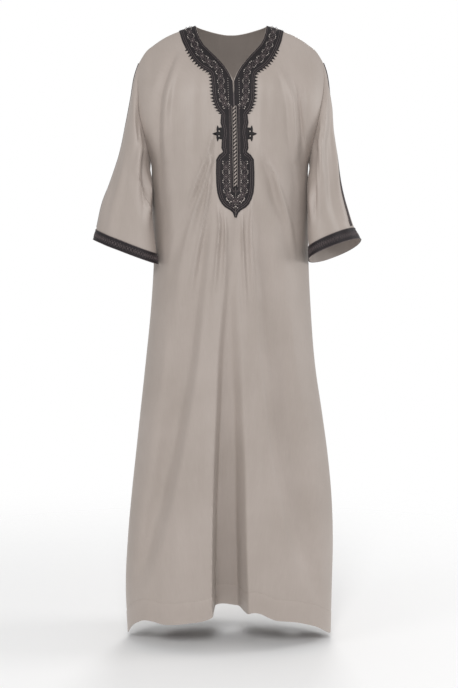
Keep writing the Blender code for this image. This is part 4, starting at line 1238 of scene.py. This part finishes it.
def chain(cords, knots, wing):
    """Florets in a row down the band, crossed threads between them, and light knots beside them."""
    for run in parallel(outer_line(), CHAIN_IN, +1, in_field):
        length = run_length(run)[-1]
        count = int(length / FLORET_PITCH)
        line = even(run, length / max(2 * count, 1))
        for step, centre in enumerate(line):
            ahead = unit(line[min(step + 1, len(line) - 1)] - line[max(step - 1, 0)])
            side = np.array([-ahead[1], ahead[0]])
            if step % 2:
                floret(cords, centre, ahead, wing)
                dot(knots, centre, wing, HEART_KNOT)
                for corner in np.arange(4) * np.pi / 2 + np.pi / 4:
                    away = ahead * np.cos(corner) + side * np.sin(corner)
                    dot(knots, centre + away * ROUND_OUT, wing, ROUND_KNOT)
                continue
            for lean in (-1, 1):
                cross = [centre + ahead * along + side * out * lean for along, out in CROSS]
                lay(cords, np.array(cross), wing, THIN_WIDE, THIN_HIGH, spacing=THIN_SPACING)
                for slip in (-PAIR_SLIP, PAIR_SLIP):
                    dot(knots, centre + side * PAIR_OUT * lean + ahead * slip, wing, PAIR_KNOT)


def trim_front(wing, word):
    """Border cords, lines beside the braid, chain and specks of one half of the front plate."""
    cords, knots = Stitchwork(), Stitchwork()
    for distance in BORDER_CORDS:
        for run in parallel(outer_line(), distance, +1, off_middle):
            lay(cords, run, wing, BORDER_WIDE, BORDER_HIGH)
    for run in parallel(inner_line(), INNER_CORD, -1, round_neck):
        lay(cords, run, wing, BORDER_WIDE, BORDER_HIGH)
    turn = np.linspace(0, np.pi / 2, 9)
    for out in (INNER_OUT, INNER_OUT + INNER_PITCH):
        foot = np.stack([out * np.cos(turn), BRAID_BOTTOM + out * np.sin(turn)], axis=1)
        beside = np.vstack([[out, INNER_TOP], [out, BRAID_BOTTOM - 0.001], foot])
        lay(cords, beside, wing, BORDER_WIDE, BORDER_HIGH)
    chain(cords, knots, wing)
    for out, start, end in SPECK_ROWS:
        for down in np.arange(start, end, SPECK_PITCH):
            dot(knots, (out, down), wing, SPECK)
    add_stitches(cords, knots, word)


def add_stitches(cords, knots, word):
    cords.piece(f"neck_cords_{word}", cord_silk)
    knots.piece(f"neck_knots_{word}", light_silk)


def back_plate():
    """The band goes on round the back of the neck, between the two shoulder seams."""
    t = np.linspace(-1, 1, BACK_BAND_COLUMNS + 1)
    inner = np.stack([t * NECK_HALF, back_neck_down(t * NECK_HALF) + BACK_RIM], axis=1)
    to_seam = t**BACK_BAND_POWER
    outer_down = shoulder_down(t * BACK_BAND_ENDS_OUT) * to_seam + BACK_RIM
    outer_down += (inner[:, 1] + BACK_BAND_WIDTH) * (1 - to_seam)
    outer = np.stack([t * BACK_BAND_ENDS_OUT, outer_down], axis=1)
    across = np.linspace(0, 1, BACK_BAND_ROWS + 1)[:, None, None]
    places = inner[None] * (1 - across) + outer[None] * across
    points, normals = on_cloth(places[..., 0], places[..., 1], side=+1)
    flat = np.stack([(places[..., 1] - places[:1, :, 1]), places[..., 0]], axis=-1)
    made = add_plate("neck_plate_back", points, normals, (0, 1, 0.5), embroidery, cloth_map=flat)
    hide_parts("neck_band_back")
    cords, knots = Stitchwork(), Stitchwork()
    for share in BACK_CORDS:
        line = inner * (1 - share) + outer * share
        points, normals = on_cloth(line[:, 0], line[:, 1], side=+1, lift=PLATE_TOP)
        cords.cord(points, normals, BORDER_WIDE, BORDER_HIGH)
    middle = even(inner * (1 - BACK_CHAIN) + outer * BACK_CHAIN, FLORET_PITCH / 2)
    turn = np.linspace(0, 2 * np.pi, 17)[:-1]
    for step, centre in enumerate(middle[1:-1]):
        spots = centre + np.array(BACK_KNOTS)
        if step % 2:
            ring = centre + np.stack([np.cos(turn), np.sin(turn)], axis=1) * ring_reach(turn)[:, None]
            points, normals = on_cloth(ring[:, 0], ring[:, 1], side=+1, lift=PLATE_TOP)
            cords.cord(points, normals, THIN_WIDE, THIN_HIGH, closed=True)
            spots = centre[None]
        points, normals = on_cloth(spots[:, 0], spots[:, 1], side=+1, lift=PLATE_TOP)
        for point, normal in zip(points, normals):
            knots.knot(point, normal, np.array([1.0, 0, 0]), *BACK_KNOT)
    add_stitches(cords, knots, "back")


# Braid, star, cuff and stripe, in metres where nothing else is said

BRAID_ROWS, BRAID_COLUMNS = 70, 7
RUNG_PITCH, RUNG_LEAN, RUNG_KNOT = 0.0082, 0.90, (0.0062, 0.0020, 0.0017)
RUNGS_FROM, RUNGS_BEFORE_END = 0.004, 0.002
RAIL_OUT, RAIL_WIDE, RAIL_HIGH = 0.0050, 0.0005, 0.0007
SLIT_OPEN_TO = 0.161
SLIT_SEAM_LIFT, SLIT_SEAM_WIDE, SLIT_SEAM_HIGH = 0.0006, 0.0017, 0.0008
STAR_THICK, STAR_SPACING = 0.0007, 0.0012
# Strokes of a star in millimetres: away from the placket, down, and half the cord's width
STAR_STROKES = (
    ((-3.0, 0.4, 4.4), (1.0, 0.4, 4.6), (5.0, 0.4, 3.4), (8.0, 0.4, 2.2), (11.0, 0.4, 0.8)),
    ((-2.0, 0.4, 4.0), (-1.2, -5.0, 3.2), (-1.0, -9.5, 3.4), (-0.6, -13.0, 2.6), (-0.2, -18.0, 0.8)),
    ((-2.0, 0.4, 4.0), (-1.2, 5.0, 3.4), (-1.0, 9.0, 3.6), (-0.6, 12.4, 2.6), (-0.2, 17.2, 0.8)),
    ((-1.5, -9.8, 3.2), (-6.0, -10.6, 3.0), (-12.0, -11.2, 3.0)),
    ((-1.5, 8.6, 3.0), (-6.0, 9.4, 2.8), (-12.0, 10.4, 3.0)),
    ((-3.0, 0.4, 4.0), (-7.0, 0.2, 3.4), (-12.0, 0.0, 4.0)),
    ((-8.8, -13.5, 2.0), (-8.8, -9.0, 3.0), (-8.8, 0.0, 3.2), (-8.8, 9.0, 3.0), (-8.8, 12.5, 2.0)),
)
# Light spots of a star, in millimetres as above
STAR_SPOTS = ((-3.8, -5.6), (-3.5, 5.4))
STAR_KNOT = (0.0015, 0.0012, 0.0005)
CUFF_ROWS, CUFF_EDGE = 9, 0.0008
# Lattice of the cuff: a thread that rises and falls between two of its rows
LATTICE_PITCH, LATTICE_POINTS, LATTICE_CORD = 0.0120, 4, 0.0006
LATTICE_LOW, LATTICE_SPAN = 2.0, 4.0
CUFF_KNOT = (0.0017, 0.0013, 0.0009)
STRIPE_COLUMNS, STRIPE_WIDE, STRIPE_HIGH = 7, 0.0007, 0.0008
STRIPE_KNOTS_FROM, STRIPE_KNOTS_BEFORE_END, STRIPE_KNOT_PITCH = 0.004, 0.003, 0.0048
STRIPE_KNOT, STRIPE_KNOT_LEAN = (0.0026, 0.0013, 0.0010), 0.6


def placket_braid():
    """Flat bed with a twisted cord of light silk on it, which closes the slit."""
    down = np.linspace(BRAID_TOP, BRAID_BOTTOM, BRAID_ROWS)[:, None]
    out = np.linspace(-BRAID_HALF, BRAID_HALF, BRAID_COLUMNS)[None]
    x = placket_x(down) + out
    points, normals = on_cloth(x, np.broadcast_to(down, x.shape), lift=PLATE_TOP)
    flat = np.stack([np.broadcast_to(out, x.shape), np.broadcast_to(down, x.shape)], axis=-1)
    made = add_plate("braid_bed", points, normals, (0, -1, 0), embroidery, cloth_map=flat)
    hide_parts("placket_braid")
    slit_seam()
    work = Stitchwork()
    along = np.array([math.cos(RUNG_LEAN), 0, math.sin(RUNG_LEAN)])
    for at in np.arange(BRAID_TOP + RUNGS_FROM, BRAID_BOTTOM - RUNGS_BEFORE_END, RUNG_PITCH):
        middle, normal = on_cloth(np.array([placket_x(at)]), np.array([at]), lift=PLATE_TOP + PLATE)
        work.knot(middle[0], normal[0], along, *RUNG_KNOT)
    rails = np.linspace(BRAID_TOP, BRAID_BOTTOM, 90)
    for wing in (-1, 1):
        points, normals = on_cloth(placket_x(rails) + wing * RAIL_OUT, rails, lift=PLATE_TOP + PLATE)
        work.cord(points, normals, RAIL_WIDE, RAIL_HIGH)
    work.piece("braid_twist", braid_silk)


def slit_seam():
    """Cord that draws the slit together between its open part and the braid."""
    down = np.linspace(SLIT_OPEN_TO, BRAID_TOP + 0.002, 20)
    points, normals = on_cloth(placket_x(down), down, lift=PLATE_LIFT + SLIT_SEAM_LIFT)
    work = Stitchwork()
    work.cord(points, normals, SLIT_SEAM_WIDE, SLIT_SEAM_HIGH)
    work.piece("slit_seam", cord_silk)


def star(wing, word):
    """Open star of thick couched cords beside the waist of the placket, with its arms on the plate."""
    work = Stitchwork()
    for stroke in STAR_STROKES:
        line = even(np.array(stroke) / 1000, STAR_SPACING)
        x = placket_x(STAR_DOWN) + wing * (STAR_OUT + line[:, 0])
        points, normals = on_cloth(x, STAR_DOWN + line[:, 1], lift=STAR_THICK)
        work.cord(points, normals, line[:, 2], STAR_THICK, sides=8)
    made = work.piece(f"star_plate_{word}", embroidery)
    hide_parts(f"star_{word}")
    spots = np.array(STAR_SPOTS) / 1000
    x = placket_x(STAR_DOWN) + wing * (STAR_OUT + spots[:, 0])
    points, normals = on_cloth(x, STAR_DOWN + spots[:, 1], lift=2 * STAR_THICK)
    light = Stitchwork()
    for point, normal in zip(points, normals):
        light.knot(point, normal, np.array([0, 0, 1.0]), *STAR_KNOT)
    light.piece(f"star_knots_{word}", light_silk)


def at_rows(values, rows):
    """Values at places between rows."""
    low = rows.astype(int)
    high = np.minimum(low + 1, len(values) - 1)
    part = (rows % 1)[:, None, None]
    return values[low] * (1 - part) + values[high] * part


def on_ring(ring, column):
    """Value at a place between two points of a closed ring."""
    low = int(column) % len(ring)
    high = (low + 1) % len(ring)
    return ring[low] * (1 - column % 1) + ring[high] * (column % 1)


def first_of_cuff():
    return int(np.argmax(sleeve_shares() >= CUFF_FROM - 1e-6))


def cuff(wing, word, ring, normals):
    """Woven band round the sleeve's end, with corded edges and a lattice between them."""
    band, band_normals = ring[first_of_cuff() :], normals[first_of_cuff() :]
    across = np.linspace(0, 1, CUFF_ROWS)
    rows = np.linspace(0, len(band) - 1, CUFF_ROWS)
    points, out = at_rows(band, rows), unit(at_rows(band_normals, rows))
    around = np.cumsum(np.linalg.norm(np.roll(points, -1, axis=1) - points, axis=2), axis=1)
    height = np.linalg.norm(points[-1] - points[0], axis=1).mean()
    flat = np.stack([np.broadcast_to(across[:, None] * height, around.shape), around], axis=-1)
    made = add_plate(
        f"cuff_plate_{word}", points, out, (wing, 0, 0.2), cuff_weave, wrap=True, cloth_map=flat
    )
    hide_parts(f"cuff_{word}")
    work, light = Stitchwork(), Stitchwork()
    for row in (0, CUFF_ROWS - 1):
        work.cord(points[row] + out[row] * PLATE_TOP, out[row], CUFF_EDGE, CUFF_EDGE, closed=True)
    middle, columns = CUFF_ROWS // 2, len(points[0])
    waves = 2 * round(around[middle, -1] / LATTICE_PITCH)
    for phase in (0, 1):
        line, lean = [], []
        for step in range(waves * LATTICE_POINTS):
            column = step / (waves * LATTICE_POINTS) * columns
            wave = (step / LATTICE_POINTS + phase) % 2
            level = LATTICE_LOW + LATTICE_SPAN * (wave if wave < 1 else 2 - wave)
            base, part = int(level), level % 1
            upper, lower = on_ring(points[base], column), on_ring(points[base + 1], column)
            line.append(upper * (1 - part) + lower * part)
            lean.append(on_ring(out[base], column))
        line, lean = np.array(line), unit(np.array(lean))
        work.cord(line + lean * PLATE_TOP, lean, LATTICE_CORD, LATTICE_CORD, closed=True)
    for step in range(waves):
        low = int((step + 0.5) / waves * columns) % columns
        place = points[middle][low] + out[middle][low] * PLATE_TOP
        light.knot(place, out[middle][low], points[middle + 1][low] - points[middle][low], *CUFF_KNOT)
    work.piece(f"cuff_cords_{word}", cord_silk)
    light.piece(f"cuff_knots_{word}", cuff_silk)


def stripe(wing, word, ring, normals):
    """Flat braid down the sleeve's outer line, from the shoulder to the cuff."""
    lines, lean = [], []
    shares = sleeve_shares()
    span = np.r_[-STRIPE_SPAN:STRIPE_SPAN]
    for row in range(1, first_of_cuff()):
        far, out = ring[row][span], normals[row][span]
        away = run_length(far)
        middle = away[STRIPE_SPAN] - straight(STRIPE, word, shares[row], along="share")
        at = middle + np.linspace(STRIPE_HALF, -STRIPE_HALF, STRIPE_COLUMNS)
        lines.append(along_line(at, away, far))
        lean.append(along_line(at, away, out))
    points, out = np.array(lines), unit(np.array(lean))
    centre = STRIPE_COLUMNS // 2
    flat = flat_map(points, centre)
    made = add_plate(f"stripe_plate_{word}", points, out, (wing, 0, 0.2), cuff_weave, cloth_map=flat)
    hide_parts(f"sleeve_stripe_{word}")
    work = Stitchwork()
    raised = points + out * PLATE_TOP
    for column in (0, STRIPE_COLUMNS - 1):
        work.cord(raised[:, column], out[:, column], STRIPE_WIDE, STRIPE_HIGH)
    middle, top = raised[:, centre], out[:, centre]
    length = run_length(middle)
    for at in np.arange(STRIPE_KNOTS_FROM, length[-1] - STRIPE_KNOTS_BEFORE_END, STRIPE_KNOT_PITCH):
        row = min(int(np.searchsorted(length, at)), len(points) - 2)
        across = unit(points[row, -1] - points[row, 0])
        along = unit(middle[row + 1] - middle[row])
        place, normal = along_line(at, length, middle), unit(along_line(at, length, top))
        work.knot(place, normal, across + along * STRIPE_KNOT_LEAN, *STRIPE_KNOT)
    work.piece(f"stripe_cords_{word}", cord_silk)


STITCH_STEP, STITCH_KNOT = 0.0042, (0.0013, 0.00035, 0.0003)
FACING_TO, FACING_POINTS = 0.80, 90
FACING_SINK, FACING_WIDE, FACING_HIGH = 0.0002, 0.0007, 0.0009


def hem_stitches(name, grid, normals):
    """Line of machine stitches that holds the turned-up hem."""
    shares = np.concatenate([row_shares() - 1, lower_shares()])
    row = int(np.argmin(np.abs(shares - HEM_SHARE)))
    line, lean = grid[row], normals[row]
    length = run_length(line)
    work = Stitchwork()
    for at in np.arange(STITCH_STEP, length[-1] - STITCH_STEP, STITCH_STEP):
        low = min(int(np.searchsorted(length, at)), len(line) - 1)
        work.knot(along_line(at, length, line), lean[low], line[low] - line[low - 1], *STITCH_KNOT)
    work.piece(name, thread)


def neck_facing():
    """Rolled edge of the cloth along the neckline and the slit, just inside the band."""
    work = Stitchwork()
    for wing in (-1, 1):
        line = np.array([neck_place(share, wing) for share in np.linspace(0, FACING_TO, FACING_POINTS)])
        points, normals = on_cloth(line[:, 0], line[:, 1], lift=-CLOTH / 2)
        # The first two points lie in the shoulder seam
        points, normals = points[2:] - normals[2:] * FACING_SINK, normals[2:]
        work.cord(points, normals, FACING_WIDE, FACING_HIGH)
    work.piece("neck_facing", cloth)


# Finishes


def linear(code):
    """Linear colour of an sRGB hex value."""
    parts = [int(code[at : at + 2], 16) / 255 for at in (1, 3, 5)]
    return (*(part / 12.92 if part <= 0.04045 else ((part + 0.055) / 1.055) ** 2.4 for part in parts), 1)


def add_node(tree, kind, settings=None, values=None, links=None):
    """One node with its settings, its sockets' values and what feeds its sockets."""
    made = tree.nodes.new(kind)
    for name, value in (settings or {}).items():
        setattr(made, name, value)
    for name, value in (values or {}).items():
        made.inputs[name].default_value = value
    for name, source in (links or {}).items():
        tree.links.new(source, made.inputs[name])
    return made


def new_finish(name):
    made = bpy.data.materials.new(name)
    made.use_nodes = True
    return made, made.node_tree, made.node_tree.nodes["Principled BSDF"]


def set_values(shader, values):
    for name, value in values.items():
        shader.inputs[name].default_value = value


def bands(spacing):
    """Scale of a wave texture, whose bands repeat once every 2 pi / (20 scale)."""
    return math.pi / 10 / spacing


def woven(tree, thread_wide, thread_long):
    """Height of a plain weave: one set of threads runs down the cloth, the other across it."""
    place = add_node(tree, "ShaderNodeUVMap", {"uv_map": "cloth"}).outputs["UV"]
    warp = add_node(tree, "ShaderNodeTexWave", {"bands_direction": "X"},
                    {"Scale": bands(thread_wide), "Distortion": 0.4, "Detail": 1.0}, {"Vector": place})
    weft = add_node(tree, "ShaderNodeTexWave", {"bands_direction": "Y"},
                    {"Scale": bands(thread_long), "Distortion": 0.4, "Detail": 1.0}, {"Vector": place})
    both = add_node(tree, "ShaderNodeMath", {"operation": "MAXIMUM"}, None,
                    {0: warp.outputs["Fac"], 1: weft.outputs["Fac"]})
    return place, both.outputs[0]


def greige_crepe():
    """Polyester crepe with a satin back, piece-dyed greige. It takes light softly, with a faint sheen
    where it turns away, and fine uneven threads run down it."""
    made, tree, shader = new_finish("Greige crepe")
    # The real threads are 0.25 mm apart and are drawn at 0.8 mm so that they show close by
    place, weave = woven(tree, 0.0008, 0.0008)
    stretch = add_node(tree, "ShaderNodeMapping", None, {"Scale": (1.0, 0.06, 1.0)}, {"Vector": place})
    slub = add_node(tree, "ShaderNodeTexNoise", None,
                    {"Scale": 420.0, "Detail": 3.0, "Roughness": 0.6}, {"Vector": stretch.outputs[0]})
    cloud = add_node(tree, "ShaderNodeTexNoise", None,
                     {"Scale": 7.0, "Detail": 3.0, "Roughness": 0.5}, {"Vector": place})
    mix = add_node(tree, "ShaderNodeMath", {"operation": "MULTIPLY_ADD"}, {1: 0.45},
                   {0: slub.outputs["Fac"], 2: cloud.outputs["Fac"]})
    tone = add_node(tree, "ShaderNodeValToRGB", None, None, {"Fac": mix.outputs[0]})
    tone.color_ramp.elements[0].position = 0.40
    tone.color_ramp.elements[1].position = 1.05
    tone.color_ramp.elements[0].color = linear("#A0958D")
    tone.color_ramp.elements[1].color = linear("#ACA19A")
    tree.links.new(tone.outputs["Color"], shader.inputs["Base Color"])
    relief = add_node(tree, "ShaderNodeMath", {"operation": "MULTIPLY_ADD"}, {1: 0.6},
                      {0: slub.outputs["Fac"], 2: weave})
    bump = add_node(tree, "ShaderNodeBump", None, {"Strength": 0.22, "Distance": 0.00012},
                    {"Height": relief.outputs[0]})
    tree.links.new(bump.outputs[0], shader.inputs["Normal"])
    set_values(shader, {"Roughness": 0.50, "Specular IOR Level": 0.45, "IOR": 1.50, "Metallic": 0.0,
                        "Sheen Weight": 0.22, "Sheen Roughness": 0.45,
                        "Sheen Tint": linear("#EDE6DE")})
    return made


def stitched_ground(name, low, high, thread_pitch, strength):
    """Dense satin stitch in matt brown rayon: ridges of thread across the band, uneven in tone."""
    made, tree, shader = new_finish(name)
    place, weave = woven(tree, 0.0030, thread_pitch)
    fleck = add_node(tree, "ShaderNodeTexNoise", None,
                     {"Scale": 520.0, "Detail": 2.0, "Roughness": 0.7}, {"Vector": place})
    blend = add_node(tree, "ShaderNodeMath", {"operation": "MULTIPLY"}, None,
                     {0: fleck.outputs["Fac"], 1: weave})
    tone = add_node(tree, "ShaderNodeValToRGB", None, None, {"Fac": blend.outputs[0]})
    tone.color_ramp.elements[0].position = 0.25
    tone.color_ramp.elements[1].position = 0.70
    tone.color_ramp.elements[0].color = linear(low)
    tone.color_ramp.elements[1].color = linear(high)
    tree.links.new(tone.outputs["Color"], shader.inputs["Base Color"])
    bump = add_node(tree, "ShaderNodeBump", None, {"Strength": strength, "Distance": 0.0004},
                    {"Height": blend.outputs[0]})
    tree.links.new(bump.outputs[0], shader.inputs["Normal"])
    set_values(shader, {"Roughness": 0.62, "Specular IOR Level": 0.35, "IOR": 1.48,
                        "Sheen Weight": 0.12, "Sheen Roughness": 0.4})
    return made


def silk(name, low, high, roughness):
    """Rayon cord, twisted and couched down: smoother than the ground, so it catches small lights."""
    made, tree, shader = new_finish(name)
    place = add_node(tree, "ShaderNodeTexCoord").outputs["Object"]
    twist = add_node(tree, "ShaderNodeTexWave", {"bands_direction": "DIAGONAL"},
                     {"Scale": bands(0.0016), "Distortion": 1.5, "Detail": 1.0}, {"Vector": place})
    tone = add_node(tree, "ShaderNodeValToRGB", None, None, {"Fac": twist.outputs["Fac"]})
    tone.color_ramp.elements[0].color = linear(low)
    tone.color_ramp.elements[1].color = linear(high)
    tree.links.new(tone.outputs["Color"], shader.inputs["Base Color"])
    bump = add_node(tree, "ShaderNodeBump", None, {"Strength": 0.35, "Distance": 0.0003},
                    {"Height": twist.outputs["Fac"]})
    tree.links.new(bump.outputs[0], shader.inputs["Normal"])
    set_values(shader, {"Roughness": roughness, "Specular IOR Level": 0.5, "IOR": 1.48})
    return made


cloth = greige_crepe()
embroidery = stitched_ground("Brown satin stitch", "#110D0F", "#241D20", 0.0011, 0.6)
cuff_weave = stitched_ground("Brown woven trim", "#140F12", "#292124", 0.0013, 0.6)
cord_silk = silk("Brown couched cord", "#30272A", "#605555", 0.45)
light_silk = silk("Light silk knots", "#978C87", "#D2C8C2", 0.45)
braid_silk = silk("Light twisted braid", "#786D6B", "#B5AAA1", 0.42)
cuff_silk = silk("Grey-brown cuff stitches", "#463C3D", "#675C5B", 0.5)
thread = silk("Sewing thread", "#8E8379", "#A2978C", 0.55)

# Panels and sleeves

halves = {wing: front_half(wing) for wing in (-1, 1)}
front = np.concatenate([halves[-1], halves[1][:, ::-1]], axis=1)
back = back_grid()
middle_column = HALF_COLUMNS


def front_index():
    """Point numbers of the front grid. Below the slit its two middle columns are one."""
    index = np.arange(front.shape[0] * front.shape[1]).reshape(front.shape[:2])
    shares = np.concatenate([row_shares(), 1 + lower_shares()])
    closed = int(np.argmax(shares >= SLIT_END_SHARE))
    index[closed:, middle_column + 1] = index[closed:, middle_column]
    return index


def front_faces(index):
    near, far = index[:-1], index[1:]
    faces = np.stack([near[:, :-1], far[:, :-1], far[:, 1:], near[:, 1:]], axis=-1)
    return np.delete(faces, middle_column, axis=1).reshape(-1, 4)


def compact(points, faces, *others):
    used, renumbered = np.unique(faces, return_inverse=True)
    return [points[used], renumbered.reshape(faces.shape)] + [other[used] for other in others]


sleeve_tables = {
    -1: (SLEEVE_RIGHT, SLEEVE_RIGHT_FOLDS, SLEEVE_RIGHT_CREASES),
    1: (SLEEVE_LEFT, SLEEVE_LEFT_FOLDS, SLEEVE_LEFT_CREASES),
}
sleeves, sleeve_faces, sleeve_normals = {}, {}, {}
for wing in (-1, 1):
    back_edge = back[: ROWS_ABOVE + 1, 0 if wing < 0 else -1]
    hole = armhole_ring(halves[wing][: ROWS_ABOVE + 1, 0], back_edge)
    rows, folds, creases = sleeve_tables[wing]
    sleeves[wing] = sleeve_grid(hole, rows, folds, creases, wing)
    flat = sleeves[wing].reshape(-1, 3)
    faces = grid_faces(sleeves[wing].shape[0], sleeves[wing].shape[1], wrap=True)
    sleeve_faces[wing] = outward(faces, flat, (wing, 0, 0.3))
    sleeve_normals[wing] = point_normals(flat, sleeve_faces[wing]).reshape(sleeves[wing].shape)

front_flat = front.reshape(-1, 3)
index = front_index()
faces_of_front = outward(front_faces(index), front_flat, (0, -1, 0.2))
normals_of_front = point_normals(front_flat, faces_of_front)[index]
normals_of_front[0] = seam_normal_on_shoulder(front[0, :, 0])
faces_of_back = outward(grid_faces(*back.shape[:2]), back.reshape(-1, 3), (0, 1, 0.2))
normals_of_back = point_normals(back.reshape(-1, 3), faces_of_back).reshape(back.shape)
on_shoulder = np.abs(back[0, :, 0]) > NECK_HALF
normals_of_back[0, on_shoulder] = seam_normal_on_shoulder(back[0, on_shoulder, 0])

for wing in (-1, 1):
    column = 0 if wing < 0 else -1
    ring = sleeve_normals[wing][0]
    upper = np.s_[: ROWS_ABOVE + 1]
    normals_of_front[upper, column] = unit(normals_of_front[upper, column] + ring[upper])
    back_ring = np.concatenate([ring[:1], ring[: ROWS_ABOVE - 1 : -1]])
    normals_of_back[upper, column] = unit(normals_of_back[upper, column] + back_ring)
    for normals in (normals_of_front, normals_of_back):
        normals[ROWS_ABOVE, column] = ARMPIT_NORMAL
        normals[ROWS_ABOVE + 1 :, column] = (wing, 0, 0)
    ring[upper] = normals_of_front[upper, column]
    ring[ROWS_ABOVE + 1 :] = normals_of_back[ROWS_ABOVE - 1 : 0 : -1, column]

shares = np.concatenate([row_shares() - 1, lower_shares()])
front += normals_of_front * seat_on(shares)[:, None, None]
back += normals_of_back * seat_on(shares)[:, None, None]
hem_lines = {"front": (front.copy(), normals_of_front), "back": (back.copy(), normals_of_back)}
dipped(front, normals_of_front, np.s_[0, :], np.s_[1, :])
dipped(front, normals_of_front, np.s_[:, 0], np.s_[:, 1])
dipped(front, normals_of_front, np.s_[:, -1], np.s_[:, -2])
dipped(back, normals_of_back, np.s_[0, on_shoulder], np.s_[1, on_shoulder])
dipped(back, normals_of_back, np.s_[:, 0], np.s_[:, 1])
dipped(back, normals_of_back, np.s_[:, -1], np.s_[:, -2])


def add_cloth(name, node, points, faces, normals, flat):
    made_points, made_faces = wall(points, faces, normals, CLOTH)
    made = add_piece(name, made_points, made_faces, cloth, np.vstack([flat, flat]))
    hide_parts(node)
    return made


points, faces, normals, flat = compact(
    front.reshape(-1, 3), faces_of_front, normals_of_front.reshape(-1, 3),
    flat_map(front, middle_column).reshape(-1, 2),
)
front_cloth = add_cloth("front", "front_panel", points, faces, normals, flat)
back_cloth = add_cloth("back", "back_panel", back.reshape(-1, 3), faces_of_back,
                       normals_of_back.reshape(-1, 3), flat_map(back, BACK_COLUMNS // 2).reshape(-1, 2))
for wing, word in ((-1, "right"), (1, "left")):
    ring = sleeves[wing].copy()
    dipped(ring, sleeve_normals[wing], 0, 1)
    add_cloth(f"sleeve_of_{word}_arm", f"sleeve_{word}", ring.reshape(-1, 3),
                                   sleeve_faces[wing], sleeve_normals[wing].reshape(-1, 3),
                                   flat_map(ring, 0).reshape(-1, 2))

# Trims

for wing, word in ((-1, "right"), (1, "left")):
    front_plate(wing, word)
    trim_front(wing, word)
    star(wing, word)
    cuff(wing, word, sleeves[wing], sleeve_normals[wing])
    stripe(wing, word, sleeves[wing], sleeve_normals[wing])
back_plate()
placket_braid()
neck_facing()
for word, (grid, normals) in hem_lines.items():
    hem_stitches(f"hem_stitches_{word}", grid, normals)

# Stage, lights and camera
FLOOR_LEVEL, FLOOR_REACH, FLOOR_SIDES = -1.448, 2.2, 64
FLOOR_FADES_FROM, FLOOR_GONE_SHARE = 0.5, 0.95
AIR_FILL = 0.52


def stage():
    """Pale round floor that fades out into the white air around it."""
    turn = np.arange(FLOOR_SIDES) * 2 * np.pi / FLOOR_SIDES
    rim = np.stack([np.cos(turn), np.sin(turn), np.zeros(FLOOR_SIDES)], axis=1) * FLOOR_REACH
    mesh = bpy.data.meshes.new("floor")
    mesh.from_pydata(rim.tolist(), [], [list(range(FLOOR_SIDES))])
    made, tree, shader = new_finish("Matt white paper")
    set_values(shader, {"Base Color": linear("#F4F4F4"), "Roughness": 0.9, "Specular IOR Level": 0.1})
    place = add_node(tree, "ShaderNodeTexCoord").outputs["Object"]
    away = add_node(tree, "ShaderNodeVectorMath", {"operation": "LENGTH"}, None, {0: place})
    fade = add_node(tree, "ShaderNodeMapRange", {"interpolation_type": "SMOOTHSTEP"},
                    {"From Min": FLOOR_FADES_FROM, "From Max": FLOOR_REACH * FLOOR_GONE_SHARE},
                    {"Value": away.outputs["Value"]})
    clear = add_node(tree, "ShaderNodeBsdfTransparent")
    blend = add_node(tree, "ShaderNodeMixShader", None, None,
                     {0: fade.outputs[0], 1: shader.outputs[0], 2: clear.outputs[0]})
    tree.links.new(blend.outputs[0], tree.nodes["Material Output"].inputs["Surface"])
    mesh.materials.append(made)
    floor = bpy.data.objects.new("floor", mesh)
    floor.location = (0, 0, FLOOR_LEVEL)
    bpy.context.scene.collection.objects.link(floor)


def area_light(name, place, aim, size, power):
    data = bpy.data.lights.new(name, "AREA")
    data.shape, data.size, data.energy = "DISK", size, power
    made = bpy.data.objects.new(name, data)
    made.location = place
    made.rotation_euler = (Vector(aim) - Vector(place)).to_track_quat("-Z", "Y").to_euler()
    bpy.context.scene.collection.objects.link(made)


stage()
area_light("key", place=(-0.2, -4.0, 1.1), aim=(0, 0, -0.5), size=1.3, power=90)
area_light("rim", place=(2.8, 0.2, 0.2), aim=(0, 0, -0.7), size=1.2, power=24)
area_light("side", place=(-2.8, -2.2, 0.8), aim=(0, 0, -0.5), size=1.5, power=14)
area_light("back", place=(0.4, 3.8, 1.2), aim=(0, 0, -0.6), size=1.6, power=62)
world = bpy.data.worlds.new("Studio")
world.use_nodes = True
air = world.node_tree.nodes["Background"]
air.inputs["Color"].default_value = (1, 1, 1, 1)
# Soft fill for the robe, while the air beyond the floor shows white
seen = add_node(world.node_tree, "ShaderNodeLightPath").outputs["Is Camera Ray"]
fill = add_node(world.node_tree, "ShaderNodeMath", {"operation": "MULTIPLY_ADD"},
                {1: 1 - AIR_FILL, 2: AIR_FILL}, {0: seen})
world.node_tree.links.new(fill.outputs[0], air.inputs["Strength"])
bpy.context.scene.world = world

lens = bpy.data.cameras.new("camera")
lens.lens, lens.sensor_width = CAMERA_LENS, CAMERA_SENSOR
camera = bpy.data.objects.new("camera", lens)
camera.location = CAMERA_PLACE
camera.rotation_euler = (math.radians(90 - CAMERA_PITCH_DOWN), 0, 0)
bpy.context.scene.collection.objects.link(camera)
bpy.context.scene.camera = camera
# Plain photographic tones: white paper stays white
bpy.context.scene.view_settings.view_transform = "Standard"
